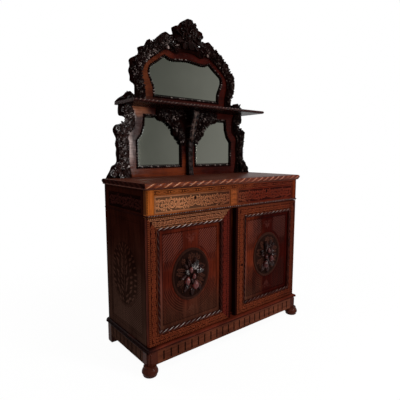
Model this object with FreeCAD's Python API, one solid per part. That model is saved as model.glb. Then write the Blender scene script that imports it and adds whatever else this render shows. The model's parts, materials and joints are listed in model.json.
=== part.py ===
import FreeCAD, Part
import math
import os

from FreeCAD import Vector

os.makedirs("parts", exist_ok=True)

# Overall cabinet. X runs to the right, Y to the back and Z up from the floor.
body_width = 1170.0
body_depth = 473.0
cut_overrun = 5.0

# Heights of the lower cabinet, from the floor up
foot_height = 54.0
plinth_height = 73.0
cap_thickness = 18.0
door_gap = 3.0
door_height = 667.0
rail_thickness = 16.0
drawer_opening = 91.0
frieze_height = 29.0
moulding_height = 20.0
top_thickness = 14.0

# Depths at the front of the carcass
door_thickness = 28.0
door_back_gap = 2.0
side_thickness = 28.0
back_thickness = 10.0
back_recess = 2.0
board_gap = 0.4

# Bun feet at the front, plain block feet at the back
foot_radius = 43.0
foot_setback = 4.0
foot_inset = 5.0
foot_base_radius = 30.0
foot_ring_radius = 37.0
foot_groove_radius = 35.5
foot_neck_radius = 33.0
foot_ring_level = 6.0
foot_groove_level = 10.0
foot_belly_level = 23.0
foot_neck_level = 50.0
dowel_radius = 11.0
dowel_length = 40.0
rear_foot_rounding = 14.0

# Plinth with upright flutes
plinth_overhang = 14.0
plinth_board = 22.0
post_size = 56.0
post_corner_radius = 20.0
flute_pitch = 46.0
flute_radius = 5.0
flute_depth = 3.0
flute_height = 50.0
flute_rise = 12.0
cap_overhang = 16.0
cap_lip = 7.0
cap_shoulder = 3.0
cap_reach = 60.0

# Sides
side_front_stile = 25.0
side_back_stile = 52.0
side_bottom_rail = 30.0
side_waist_rail = 44.0
side_waist_drop = 24.0
side_top_rail = 32.0
side_panel_thickness = 12.0
side_panel_recess = 3.0
groove_depth = 6.0

# Face frame
corner_stile_width = 42.0
centre_stile_width = 56.0
post_thickness = 22.0
bead_height = 8.0
bead_proud = 4.0
bead_rise = 2.0

# Inside the cupboard
shelf_level = 472.0
shelf_thickness = 18.0
shelf_front_setback = 50.0
shelf_back_gap = 0.5
cleat_width = 14.0
cleat_height = 22.0
back_board_count = 5

# Doors
centre_gap = 40.0
closing_strip = 14.0
frame_width = 69.0
rope_radius = 7.0
rope_proud = 5.0
panel_recess = 10.0
panel_thickness = 10.0
panel_groove = 8.0
oval_half_width = 126.0
oval_half_height = 145.0
oval_thickness = 5.0
pear_radius = 19.0
pear_half_height = 27.0
pear_centre_proud = 2.0
leaf_length = 74.0
leaf_width = 30.0
leaf_relief = 8.0
leaf_count = 7
pear_places_shares = ((-0.24, -0.16), (0.14, -0.24), (0.02, 0.10))

# Door pivots
pivot_inset = 8.0
pin_radius = 4.0
pin_clearance = 0.06
bush_radius = 5.5
bush_length = 12.0
pin_length = 14.0
pivot_plate_radius = 7.5
pivot_plate_length = 36.0
pivot_plate_thickness = 3.0
collar_radius = 6.5
seat_gap = 0.3

# Right door lock
lock_case_width = 64.0
lock_case_height = 80.0
lock_case_depth = 14.0
lock_edge_gap = 10.5
door_keyhole_level = 458.0
door_keyhole_inset = 55.0
bolt_thickness = 6.0
bolt_width = 16.0
bolt_length = 34.0
bolt_travel = 10.0
bolt_clearance = 0.3
keyhole_radius = 3.2
keyhole_slot_width = 2.8
keyhole_slot_drop = 10.0

# Drawers
drawer_clearance = 1.5
drawer_front_thickness = 20.0
drawer_front_recess = 2.0
drawer_side_thickness = 11.0
drawer_side_height = 70.0
drawer_length = 440.0
drawer_bottom_thickness = 6.0
drawer_bottom_rise = 8.0
drawer_bottom_groove = 5.0
divider_thickness = 18.0
guide_height = 30.0
drawer_lock_width = 60.0
drawer_lock_height = 46.0
drawer_lock_depth = 9.0
drawer_bolt_thickness = 4.4
drawer_bolt_length = 18.0
drawer_bolt_travel = 8.0
drawer_bolt_setback = 2.0

# Top board and the moulding under it
top_overhang = 17.0
moulding_overhang = 15.0
moulding_foot = 2.0
moulding_nose = 3.0

# Superstructure. Its boards stand on the top board, in front of the battens.
batten_thickness = 9.0
batten_width = 36.0
batten_centre = 335.0
batten_height = 670.0
back_frame_thickness = 22.0
back_frame_relief = 4.0
glass_thickness = 4.0
glass_backing = 4.0
glass_lap = 6.0
glass_clearance = 0.4
lower_back_height = 420.0
lower_back_half = 581.0
lower_glass_inner = 61.0
display_shelf_half = 512.0
display_shelf_depth = 229.0
display_shelf_thickness = 17.0
shelf_edge_depth = 9.0
upper_half = 420.0
upper_height = 450.0
upper_split_height = 213.0
crest_half = 112.0
crest_base = 349.0
crest_height = 206.0
crest_relief = 12.0
boss_radius = 58.0
boss_rise_share = 0.62
scroll_height = 64.0
scroll_depth = 44.0
scroll_gap = 12.0
bracket_width = 44.0
bracket_reach = 91.0
arm_reach = 244.0
arm_relief = 12.0

# Outlines of the carved boards, as shares of their half width and height, from the bottom up
lower_scroll_shares = ((1.00, 0.00), (0.98, 0.05), (0.95, 0.12), (0.93, 0.17), (0.90, 0.19),
                       (0.88, 0.24), (0.885, 0.35), (0.88, 0.41), (0.89, 0.47), (0.88, 0.54),
                       (0.90, 0.61), (0.91, 0.67), (0.89, 0.72), (0.86, 0.74), (0.83, 0.72),
                       (0.78, 0.79), (0.77, 0.82), (0.79, 0.85), (0.84, 0.865), (0.85, 0.93),
                       (0.845, 1.00))
lower_band_shares = ((0.73, 0.00), (0.74, 0.09), (0.752, 0.18), (0.755, 0.25), (0.752, 0.35),
                     (0.752, 0.47), (0.757, 0.59), (0.73, 0.64), (0.69, 0.69), (0.68, 0.76),
                     (0.685, 0.88), (0.70, 0.96), (0.712, 1.00))
lower_glass_shares = ((0.66, 0.145), (0.66, 0.53), (0.606, 0.62), (0.578, 0.74), (0.57, 0.885))
upper_edge_shares = ((0.91, 0.12), (0.91, 0.20), (0.92, 0.25), (0.98, 0.29), (0.98, 0.34),
                     (1.00, 0.42), (0.98, 0.48), (0.99, 0.54), (0.94, 0.59), (0.84, 0.67),
                     (0.85, 0.72), (0.77, 0.75), (0.71, 0.82), (0.68, 0.85), (0.65, 0.81),
                     (0.58, 0.86), (0.49, 0.94), (0.40, 0.99), (0.32, 0.97), (0.29, 0.98),
                     (0.285, 0.90), (0.25, 0.86))
upper_band_shares = ((0.76, 0.00), (0.765, 0.11), (0.77, 0.21), (0.80, 0.30), (0.82, 0.37),
                     (0.815, 0.45), (0.78, 0.52), (0.71, 0.57), (0.64, 0.62), (0.57, 0.67),
                     (0.49, 0.72), (0.39, 0.765), (0.31, 0.745), (0.24, 0.73), (0.14, 0.76))
band_peak_share = 0.775
upper_glass_shares = ((0.615, 0.122), (0.62, 0.24), (0.665, 0.34), (0.695, 0.42), (0.68, 0.50),
                      (0.615, 0.55), (0.55, 0.59), (0.49, 0.63), (0.42, 0.675), (0.36, 0.65),
                      (0.27, 0.64), (0.14, 0.65))
glass_peak_share = 0.66
crest_edge_shares = ((0.93, 0.19), (0.80, 0.21), (0.71, 0.26), (0.89, 0.32), (0.93, 0.46),
                     (0.98, 0.58), (1.00, 0.67), (0.79, 0.72), (0.59, 0.77), (0.43, 0.87),
                     (0.20, 0.96))
shelf_scroll_shares = ((0.00, 0.78), (0.17, 0.80), (0.35, 1.00), (0.48, 0.77),
                       (0.70, 0.50), (0.91, 0.20), (1.00, 0.00))
bracket_shares = ((1.00, 1.00), (1.00, 0.90), (0.77, 0.79), (0.63, 0.68), (0.54, 0.585),
                  (0.41, 0.52), (0.34, 0.42), (0.33, 0.22), (0.40, 0.06), (0.46, 0.00))
arm_shares = ((1.00, 1.00), (1.00, 0.885), (0.935, 0.83), (0.78, 0.83), (0.64, 0.80),
              (0.52, 0.72), (0.51, 0.63), (0.36, 0.585), (0.27, 0.545), (0.19, 0.46))

# Levels and planes that follow from the sizes above
half_body = body_width / 2
cap_base = foot_height + plinth_height
floor_level = cap_base + cap_thickness
door_base = floor_level + door_gap
door_top = door_base + door_height
rail_base = door_top + door_gap
drawer_level = rail_base + rail_thickness
frieze_base = drawer_level + drawer_opening
moulding_base = frieze_base + frieze_height
top_base = moulding_base + moulding_height
table_level = top_base + top_thickness
front_plane = -(body_depth - foot_radius + foot_setback) / 2
back_plane = front_plane + body_depth
carcass_front = front_plane + door_thickness + door_back_gap
side_inner = half_body - side_thickness
back_front = back_plane - back_recess - back_thickness
post_inner = half_body + plinth_overhang - post_size
board_back = back_plane - batten_thickness
board_front = board_back - back_frame_thickness
shelf_base = table_level + lower_back_height
display_level = shelf_base + display_shelf_thickness
shelf_front = board_back - display_shelf_depth
drawer_inner = centre_stile_width / 2
drawer_outer = half_body - corner_stile_width
pivot_x = half_body - pivot_inset
pivot_y = front_plane + door_thickness - pivot_inset


def sound(shape):
    """A solid with its faces outwards."""
    if shape.Volume < 0:
        shape.reverse()
    return shape


def block(x_range, y_range, z_range):
    low = [min(r) for r in (x_range, y_range, z_range)]
    size = [max(r) - min(r) for r in (x_range, y_range, z_range)]
    return Part.makeBox(*size, Vector(*low))


def prism(edges, reach):
    return sound(Part.Face(Part.Wire(Part.__sortEdges__(edges))).extrude(reach))


def path(points):
    return [Part.LineSegment(a, b).toShape() for a, b in zip(points, points[1:])]


def smooth(points):
    curve = Part.BSplineCurve()
    curve.interpolate(points)
    return curve.toShape()


def cylinder(radius, height, centre, axis=Vector(0, 0, 1)):
    return Part.makeCylinder(radius, height, centre, axis)


def plan_prism(points, z_range):
    """An upright block over a plan outline of (x, y) points."""
    corners = [Vector(x, y, z_range[0]) for x, y in points]
    return prism(path(corners + corners[:1]), Vector(0, 0, z_range[1] - z_range[0]))


def front_prism(points, y_range):
    """A plate along Y over an outline of (x, z) points."""
    corners = [Vector(x, y_range[0], z) for x, z in points]
    return prism(path(corners + corners[:1]), Vector(0, y_range[1] - y_range[0], 0))


def places(shares, half, base, height, side=1):
    return [(side * x * half, base + z * height) for x, z in shares]


def carved_plate(curve_points, closing_points, y_range):
    """A plate whose edge is one smooth curve, closed by straight runs."""
    curve = [Vector(x, y_range[0], z) for x, z in curve_points]
    rest = [Vector(x, y_range[0], z) for x, z in closing_points]
    edges = [smooth(curve)] + path([curve[-1]] + rest + [curve[0]])
    return prism(edges, Vector(0, y_range[1] - y_range[0], 0))


def save(name, *solids):
    shape = solids[0] if len(solids) == 1 else Part.makeCompound(list(solids))
    shape.exportStep("parts/%s.step" % name)


def pieces_of(shape):
    return [s for s in shape.Solids if s.Volume > 0]


def belly_arc(low, high, wide_at_top):
    """A quarter-like arc from one end of a bulge to its widest point."""
    wide, end = (high, low) if wide_at_top else (low, high)
    drop = abs(wide[1] - end[1])
    inset = wide[0] - end[0]
    radius = (inset ** 2 + drop ** 2) / (2 * inset)
    turn = math.asin(drop / radius) / 2
    sense = -1 if wide_at_top else 1
    middle = (wide[0] - radius + radius * math.cos(turn), wide[1] + sense * radius * math.sin(turn))
    return Part.Arc(*[Vector(x, 0, z) for x, z in (low, middle, high)]).toShape()


def bun_foot(x, y):
    base, ring = (foot_base_radius, 0), (foot_ring_radius, foot_ring_level)
    groove = (foot_groove_radius, foot_groove_level)
    belly, neck = (foot_radius, foot_belly_level), (foot_neck_radius, foot_neck_level)
    top = foot_height + dowel_length
    stem = [Vector(*p) for p in ((foot_neck_radius, 0, foot_neck_level), (foot_neck_radius, 0, foot_height),
                                 (dowel_radius, 0, foot_height), (dowel_radius, 0, top), (0, 0, top),
                                 (0, 0, 0), (foot_base_radius, 0, 0))]
    rounds = [belly_arc(base, ring, True), belly_arc(ring, groove, False),
              belly_arc(groove, belly, True), belly_arc(belly, neck, False)]
    face = Part.Face(Part.Wire(Part.__sortEdges__(rounds + path(stem))))
    foot = sound(face.revolve(Vector(0, 0, 0), Vector(0, 0, 1), 360))
    foot.translate(Vector(x, y, 0))
    return foot


def foot_places():
    """Row, side name, x and y of each foot. The back feet stand right under their posts."""
    post_middle = half_body + plinth_overhang - post_size / 2
    rows = (("front", half_body - foot_inset, front_plane + foot_setback),
            ("rear", post_middle, back_plane - post_size / 2))
    return [(row, name, side * x, y) for row, x, y in rows for name, side in (("left", -1), ("right", 1))]


def make_feet():
    for row, name, x, y in foot_places():
        save("foot_%s_%s" % (row, name), bun_foot(x, y) if row == "front" else block_foot(x, y))


def dowel_hole(x, y):
    return cylinder(dowel_radius, dowel_length + cut_overrun, Vector(x, y, foot_height - cut_overrun))


def corner_block(side, front, z_range):
    """A block under or in a plinth corner, with its outer upright edge rounded."""
    outer_x = side * (half_body + plinth_overhang)
    outer_y = front_plane - plinth_overhang if front else back_plane
    inward = 1 if front else -1
    r = post_corner_radius
    inner_x = outer_x - side * post_size
    inner_y = outer_y + inward * post_size
    slant = r * (1 - math.sqrt(0.5))
    at = lambda x, y: Vector(x, y, z_range[0])
    start, end = at(outer_x, outer_y + inward * r), at(outer_x - side * r, outer_y)
    corner = Part.Arc(start, at(outer_x - side * slant, outer_y + inward * slant), end).toShape()
    runs = path([end, at(inner_x, outer_y), at(inner_x, inner_y), at(outer_x, inner_y), start])
    return prism([corner] + runs, Vector(0, 0, z_range[1] - z_range[0]))


def block_foot(x, y):
    """A block foot that carries on a back post, rounded below, with its dowel."""
    block_shape = corner_block(1 if x > 0 else -1, False, (0, foot_height))
    low = [e for e in block_shape.Edges if all(v.Z < rear_foot_rounding / 2 for v in e.Vertexes)]
    rounded = block_shape.makeFillet(rear_foot_rounding, low)
    dowel = cylinder(dowel_radius, foot_height + dowel_length - cut_overrun, Vector(x, y, cut_overrun))
    return sound(rounded.fuse(dowel).removeSplitter().Solids[0])


def flutes_along(length):
    count = int(length / flute_pitch)
    return [(i - (count - 1) / 2) * flute_pitch for i in range(count)]


def flute(x, y):
    return cylinder(flute_radius, flute_height, Vector(x, y, foot_height + flute_rise))


def make_plinth():
    z_range = (foot_height, cap_base)
    out_y = front_plane - plinth_overhang
    out_x = half_body + plinth_overhang
    proud = flute_radius - flute_depth
    front = block((-post_inner, post_inner), (out_y, out_y + plinth_board), z_range)
    front = front.cut([flute(x, out_y - proud) for x in flutes_along(2 * post_inner)])
    save("plinth_front", front)
    posts = []
    for side in (-1, 1):
        for is_front in (True, False):
            posts.append(corner_block(side, is_front, z_range))
    holes = [dowel_hole(x, y) for row, name, x, y in foot_places()]
    posts = [p.cut(holes) for p in posts]
    save("plinth_posts", *posts)
    y_range = (out_y + post_size, back_plane - post_size)
    middle = sum(y_range) / 2
    boards = []
    for side in (-1, 1):
        board = block((side * (out_x - plinth_board), side * out_x), y_range, z_range)
        cuts = [flute(side * (out_x + proud), middle + y) for y in flutes_along(y_range[1] - y_range[0])]
        boards.append(board.cut(cuts))
    boards.append(block((-post_inner, post_inner), (back_plane - plinth_board, back_plane), z_range))
    save("plinth_sides_and_back", *boards)


def edge_profile(points, arc_middle, arc_end):
    """Section edges in (out, z): straight runs up to the arc, the arc, and the closing run."""
    corners = [Vector(0, -out, z) for out, z in points]
    end = Vector(0, -arc_end[0], arc_end[1])
    arc = Part.Arc(corners[-1], Vector(0, -arc_middle[0], arc_middle[1]), end).toShape()
    return path(corners) + [arc] + path([end, corners[0]])


def moulded_border(section, overhang, reach):
    """Front and side bars of a moulded border round the body, mitred at the front corners."""
    z_range = (-cut_overrun, 2 * table_level)
    out_x, in_x = half_body + overhang, half_body - reach
    out_y, in_y = front_plane - overhang, front_plane + reach
    front = prism([e.translated(Vector(-out_x, front_plane, 0)) for e in section], Vector(2 * out_x, 0, 0))
    plan = plan_prism([(-out_x, out_y), (out_x, out_y), (in_x, in_y), (-in_x, in_y)], z_range)
    bars = [front.common(plan)]
    for side in (-1, 1):
        bar = prism(section, Vector(2 * body_width, 0, 0))
        bar.rotate(Vector(0, 0, 0), Vector(0, 0, 1), side * 90)
        start = out_y if side > 0 else out_y + 2 * body_width
        bar.translate(Vector(side * half_body, start, 0))
        plan = plan_prism([(side * out_x, out_y), (side * out_x, back_plane),
                           (side * in_x, back_plane), (side * in_x, in_y)], z_range)
        bars.append(bar.common(plan))
    return bars


def bush_hole(side, z_range):
    low, high = z_range
    return cylinder(bush_radius, high - low, Vector(side * pivot_x, pivot_y, low))


def bush(side, z_range):
    bore = cylinder(pin_radius + pin_clearance, z_range[1] - z_range[0],
                    Vector(side * pivot_x, pivot_y, z_range[0]))
    return bush_hole(side, z_range).cut(bore)


def make_cap():
    shoulder_level = cap_base + cap_lip
    rise = floor_level - shoulder_level
    fall = cap_overhang - cap_shoulder
    arc_middle = (cap_shoulder + fall * math.sqrt(0.5), shoulder_level + rise * math.sqrt(0.5))
    runs = [(-cap_reach, floor_level), (-cap_reach, cap_base), (cap_overhang, cap_base),
            (cap_overhang, shoulder_level)]
    section = edge_profile(runs, arc_middle, (cap_shoulder, floor_level))
    holes = [bush_hole(side, (floor_level - bush_length, floor_level)) for side in (-1, 1)]
    bars = [b.cut(holes) for b in moulded_border(section, cap_overhang, cap_reach)]
    inner = half_body - cap_reach
    back = block((-inner, inner), (back_plane - cap_reach, back_plane), (cap_base, floor_level))
    save("plinth_cap", *bars, back)


def make_floor_and_back():
    save("cupboard_floor", block((-side_inner, side_inner), (carcass_front, back_front),
                                 (floor_level, floor_level + shelf_thickness)))
    pitch = 2 * side_inner / back_board_count
    boards = []
    for i in range(back_board_count):
        start = -side_inner + i * pitch
        boards.append(block((start + board_gap / 2, start + pitch - board_gap / 2),
                            (back_front, back_front + back_thickness), (floor_level, top_base)))
    save("back_boards", *boards)


def make_side(name, side):
    x_range = (side * side_inner, side * half_body)
    front, back = carcass_front + side_front_stile, back_plane - side_back_stile
    waist = (rail_base - side_waist_drop, rail_base - side_waist_drop + side_waist_rail)
    bottom = (floor_level, floor_level + side_bottom_rail)
    top = (moulding_base - side_top_rail, moulding_base)
    full = (floor_level, moulding_base)
    members = [block(x_range, (carcass_front, front), full), block(x_range, (back, back_plane), full)]
    members += [block(x_range, (front, back), z_range) for z_range in (bottom, waist, top)]
    outer = half_body - side_panel_recess
    panels = [block((side * outer, side * (outer - side_panel_thickness)),
                    (front - groove_depth, back + groove_depth), (low - groove_depth, high + groove_depth))
              for low, high in ((bottom[1], waist[0]), (waist[1], top[0]))]
    save("side_%s_frame" % name, *[m.cut(panels) for m in members])
    save("side_%s_panels" % name, *panels)


def lock_bolt_place():
    """The right door's bolt at rest, as its ranges along X, Y and Z."""
    left = centre_gap / 2 + lock_edge_gap
    y_middle = front_plane + door_thickness + lock_case_depth / 2
    return ((left, left + bolt_length), (y_middle - bolt_thickness / 2, y_middle + bolt_thickness / 2),
            (door_keyhole_level - bolt_width / 2, door_keyhole_level + bolt_width / 2))


def widened(ranges, margin):
    return [(low - margin, high + margin) for low, high in ranges]


def make_face():
    y_range = (front_plane, carcass_front)
    upper = (drawer_level, moulding_base)
    stiles = [block((side * drawer_outer, side * half_body), y_range, upper) for side in (-1, 1)]
    stiles.append(block((-drawer_inner, drawer_inner), y_range, (drawer_level, frieze_base)))
    floor_top = floor_level + shelf_thickness
    post = block((-drawer_inner, drawer_inner), (carcass_front, carcass_front + post_thickness),
                 (floor_top, rail_base))
    way_x, way_y, way_z = widened(lock_bolt_place(), 2 * bolt_clearance)
    mortise = block((drawer_inner - bolt_travel, drawer_inner + cut_overrun), way_y, way_z)
    stiles.append(post.cut(mortise))
    save("face_stiles", *stiles)

    holes = [bush_hole(side, (rail_base, rail_base + bush_length)) for side in (-1, 1)]
    rail = block((-half_body, half_body), y_range, (rail_base, drawer_level)).cut(holes)
    bead_range = (rail_base + bead_rise, rail_base + bead_rise + bead_height)
    rim = half_body + bead_proud
    beads = [block((-rim, rim), (front_plane - bead_proud, front_plane), bead_range)]
    beads += [block((side * half_body, side * rim), (front_plane, back_plane), bead_range)
              for side in (-1, 1)]
    save("waist_rail", rail)
    save("waist_beads", *beads)

    frieze = block((-drawer_outer, drawer_outer), y_range, (frieze_base, moulding_base))
    for side in (-1, 1):
        way_x, way_y, way_z = widened(drawer_bolt_place(side), 2 * bolt_clearance)
        lift = (frieze_base - cut_overrun, way_z[1] + drawer_bolt_travel)
        frieze = frieze.cut(block(way_x, way_y, lift))
    save("frieze_rail", frieze)


def make_drawer_case():
    board = block((-side_inner, side_inner), (carcass_front, back_front), (rail_base, drawer_level))
    divider = block((-divider_thickness / 2, divider_thickness / 2), (carcass_front, back_front),
                    (drawer_level, top_base))
    save("drawer_board", board, divider)
    guides = []
    for side in (-1, 1):
        for inner, outer in ((divider_thickness / 2, drawer_inner), (drawer_outer, side_inner)):
            guides.append(block((side * inner, side * outer), (carcass_front, back_front),
                                (drawer_level, drawer_level + guide_height)))
    save("drawer_guides", *guides)


def make_inner_shelf():
    y_range = (carcass_front + shelf_front_setback, back_front - shelf_back_gap)
    save("inner_shelf", block((-side_inner + shelf_back_gap, side_inner - shelf_back_gap), y_range,
                              (shelf_level, shelf_level + shelf_thickness)))
    cleats = [block((side * (side_inner - cleat_width), side * side_inner), y_range,
                    (shelf_level - cleat_height, shelf_level)) for side in (-1, 1)]
    save("shelf_cleats", *cleats)


def make_top():
    rim = half_body + top_overhang
    save("table_top", block((-rim, rim), (front_plane - top_overhang, back_plane), (top_base, table_level)))
    fall, rise = moulding_overhang - moulding_foot, moulding_height - moulding_nose
    hollow = (moulding_foot + fall * (1 - math.sqrt(0.5)), moulding_base + rise * math.sqrt(0.5))
    runs = [(moulding_overhang, top_base), (-side_thickness, top_base), (-side_thickness, moulding_base),
            (moulding_foot, moulding_base)]
    section = edge_profile(runs, hollow, (moulding_overhang, moulding_base + rise))
    save("top_moulding", *moulded_border(section, moulding_overhang, side_thickness))


def pivot_plate(side, z_range):
    disc = cylinder(pivot_plate_radius, z_range[1] - z_range[0], Vector(side * pivot_x, pivot_y, z_range[0]))
    strap = block((side * pivot_x, side * (pivot_x - pivot_plate_length)),
                  (pivot_y - pivot_plate_radius, pivot_y + pivot_plate_radius), z_range)
    return disc.fuse(strap).removeSplitter()


def pivot_pins(side):
    """The plates let into the door's two ends, each with its pin, and the lower one with its collar."""
    low = pivot_plate(side, (door_base, door_base + pivot_plate_thickness))
    high = pivot_plate(side, (door_top - pivot_plate_thickness, door_top))
    pin_x, pin_y = side * pivot_x, pivot_y
    collar_place = Vector(pin_x, pin_y, floor_level + seat_gap)
    low = low.fuse([cylinder(collar_radius, door_gap - seat_gap, collar_place),
                    cylinder(pin_radius, pin_length, Vector(pin_x, pin_y, door_base - pin_length))])
    high = high.fuse(cylinder(pin_radius, pin_length, Vector(pin_x, pin_y, door_top)))
    return [low.removeSplitter(), high.removeSplitter()]


def mitred_ring(x_range, z_range, width, y_range):
    """Four plates of a frame, mitred at its corners: bottom, top, and the two uprights."""
    (x0, x1), (z0, z1) = x_range, z_range
    outer = [(x0, z0), (x1, z0), (x1, z1), (x0, z1)]
    inner = [(x0 + width, z0 + width), (x1 - width, z0 + width), (x1 - width, z1 - width),
             (x0 + width, z1 - width)]
    return [front_prism([outer[i], outer[(i + 1) % 4], inner[(i + 1) % 4], inner[i]], y_range)
            for i in range(4)]


def rope_bars(x_range, z_range):
    """Round bars in the step of the frame, mitred where they meet."""
    inset = frame_width - 2 * rope_radius
    outer_x = (x_range[0] + inset, x_range[1] - inset)
    outer_z = (z_range[0] + inset, z_range[1] - inset)
    centre_y = front_plane - rope_proud + rope_radius
    y_range = (centre_y - 2 * rope_radius, centre_y + 2 * rope_radius)
    wedges = mitred_ring(outer_x, outer_z, 2 * rope_radius, y_range)
    r = rope_radius
    x0, x1, z0, z1 = outer_x[0], outer_x[1], outer_z[0], outer_z[1]
    rods = [cylinder(r, x1 - x0, Vector(x0, centre_y, z0 + r), Vector(1, 0, 0)),
            cylinder(r, z1 - z0, Vector(x1 - r, centre_y, z0)),
            cylinder(r, x1 - x0, Vector(x0, centre_y, z1 - r), Vector(1, 0, 0)),
            cylinder(r, z1 - z0, Vector(x0 + r, centre_y, z0))]
    return [rod.common(wedge) for rod, wedge in zip(rods, wedges)]


def keyhole(x, z, y_range):
    depth = y_range[1] - y_range[0]
    eye = cylinder(keyhole_radius, depth, Vector(x, y_range[0], z), Vector(0, 1, 0))
    half = keyhole_slot_width / 2
    return eye.fuse(block((x - half, x + half), y_range, (z - keyhole_slot_drop, z)))


def door_ranges(side):
    """The door's outer edges, and those of the mitred part of its frame."""
    closing = centre_gap / 2
    outer = tuple(sorted((side * closing, side * half_body)))
    mitred = tuple(sorted((side * (closing + closing_strip), side * half_body)))
    return outer, mitred


def hinge_corner(side):
    """What is cut from the door's outer back corner, to leave a round edge about the pivot."""
    back = front_plane + door_thickness
    corner = block((side * pivot_x, side * (half_body + cut_overrun)), (pivot_y, back + cut_overrun),
                   (door_base - cut_overrun, door_top + cut_overrun))
    round_edge = cylinder(pivot_inset, door_height, Vector(side * pivot_x, pivot_y, door_base))
    return corner.cut(round_edge)


def door_frame(side):
    outer, mitred = door_ranges(side)
    z_range = (door_base, door_top)
    y_range = (front_plane, front_plane + door_thickness)
    members = mitred_ring(mitred, z_range, frame_width, y_range)
    closing_member = 3 if side > 0 else 1
    strip = block((side * centre_gap / 2, side * (centre_gap / 2 + closing_strip)), y_range, z_range)
    members[closing_member] = members[closing_member].fuse(strip).removeSplitter()
    inset = frame_width - 2 * rope_radius
    step = block((mitred[0] + inset, mitred[1] - inset),
                 (front_plane - cut_overrun, front_plane - rope_proud + 2 * rope_radius),
                 (door_base + inset, door_top - inset))
    cuts = [step, door_panel(side), hinge_corner(side)]
    cuts += [pivot_plate(side, (door_base, door_base + pivot_plate_thickness)),
             pivot_plate(side, (door_top - pivot_plate_thickness, door_top))]
    if side > 0:
        cuts.append(keyhole(centre_gap / 2 + door_keyhole_inset, door_keyhole_level, y_range))
    return [m.cut(cuts) for m in members] + rope_bars(mitred, z_range)


def door_panel(side):
    mitred = door_ranges(side)[1]
    inset = frame_width - panel_groove
    front = front_plane + panel_recess
    return block((mitred[0] + inset, mitred[1] - inset), (front, front + panel_thickness),
                 (door_base + inset, door_top - inset))


def leaf(centre, angle, y_range):
    """A pointed leaf of two arcs, turned about Y round the middle of the medallion."""
    def at(out, across):
        x = centre[0] + out * math.cos(angle) - across * math.sin(angle)
        z = centre[1] + out * math.sin(angle) + across * math.cos(angle)
        return Vector(x, y_range[0], z)
    start, tip = at(0, 0), at(leaf_length, 0)
    sides = [Part.Arc(start, at(leaf_length / 2, s * leaf_width / 2), tip).toShape() for s in (-1, 1)]
    return prism(sides, Vector(0, y_range[1] - y_range[0], 0))


def pear(x, z):
    arc = Part.ArcOfEllipse(Part.Ellipse(Vector(0, 0, pear_half_height), Vector(pear_radius, 0, 0),
                                         Vector(0, 0, 0)), 0, math.pi)
    edge = arc.toShape()
    axis = path([edge.Vertexes[-1].Point, edge.Vertexes[0].Point])
    body = sound(Part.Face(Part.Wire([edge] + axis)).revolve(Vector(0, 0, 0), Vector(0, 0, 1), 360))
    body.translate(Vector(x, front_plane + panel_recess - oval_thickness - pear_centre_proud, z))
    return body


def door_medallion(side):
    """The oval carving: a thin plaque, a wreath of leaves and three fruits."""
    mitred = door_ranges(side)[1]
    x, z = sum(mitred) / 2, (door_base + door_top) / 2
    back = front_plane + panel_recess
    front = back - oval_thickness
    rim = Part.Ellipse(Vector(x, back, z + oval_half_height), Vector(x + oval_half_width, back, z),
                       Vector(x, back, z)).toShape()
    plaque = sound(Part.Face(Part.Wire([rim])).extrude(Vector(0, -oval_thickness, 0)))
    leaves = [leaf((x, z), 2 * math.pi * (i + 0.25) / leaf_count, (front - leaf_relief, back))
              for i in range(leaf_count)]
    fruit = [pear(x + side * dx * oval_half_width, z + dz * oval_half_height)
             for dx, dz in pear_places_shares]
    carving = plaque.fuse(leaves + fruit)
    behind = block((x - body_width, x + body_width), (back, back + body_depth), (0, table_level))
    return carving.cut(behind)


def make_door(name, side):
    save("door_%s_frame" % name, *door_frame(side))
    save("door_%s_panel" % name, door_panel(side))
    save("door_%s_medallion" % name, door_medallion(side))
    save("door_%s_pivots" % name, *pivot_pins(side))


def make_door_lock():
    left = centre_gap / 2 + lock_edge_gap
    y_range = (front_plane + door_thickness, front_plane + door_thickness + lock_case_depth)
    case = block((left, left + lock_case_width), y_range,
                 (door_keyhole_level - lock_case_height / 2, door_keyhole_level + lock_case_height / 2))
    bolt_x, bolt_y, bolt_z = lock_bolt_place()
    way_x, way_y, way_z = widened(lock_bolt_place(), bolt_clearance)
    case = case.cut(block((left - cut_overrun, way_x[1]), way_y, way_z))
    case = case.cut(keyhole(centre_gap / 2 + door_keyhole_inset, door_keyhole_level, y_range))
    save("door_right_lock", case)
    save("door_right_lock_bolt", block(bolt_x, bolt_y, bolt_z))


def make_bushes():
    bottom, top = (floor_level - bush_length, floor_level), (rail_base, rail_base + bush_length)
    save("pivot_bushes", *[bush(side, z_range) for side in (-1, 1) for z_range in (bottom, top)])


def drawer_ranges(side):
    """The drawer front's ranges along X, Y and Z."""
    x_range = (side * (drawer_inner + drawer_clearance), side * (drawer_outer - drawer_clearance))
    front = front_plane + drawer_front_recess
    return (tuple(sorted(x_range)), (front, front + drawer_front_thickness),
            (drawer_level + seat_gap, frieze_base - drawer_clearance))


def drawer_bolt_place(side):
    x_range, y_range, z_range = drawer_ranges(side)
    x = sum(x_range) / 2
    y_middle = y_range[1] + drawer_lock_depth / 2 - drawer_bolt_setback
    top = z_range[1] - bolt_clearance
    return ((x - bolt_width / 2, x + bolt_width / 2),
            (y_middle - drawer_bolt_thickness / 2, y_middle + drawer_bolt_thickness / 2),
            (top - drawer_bolt_length, top))


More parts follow.
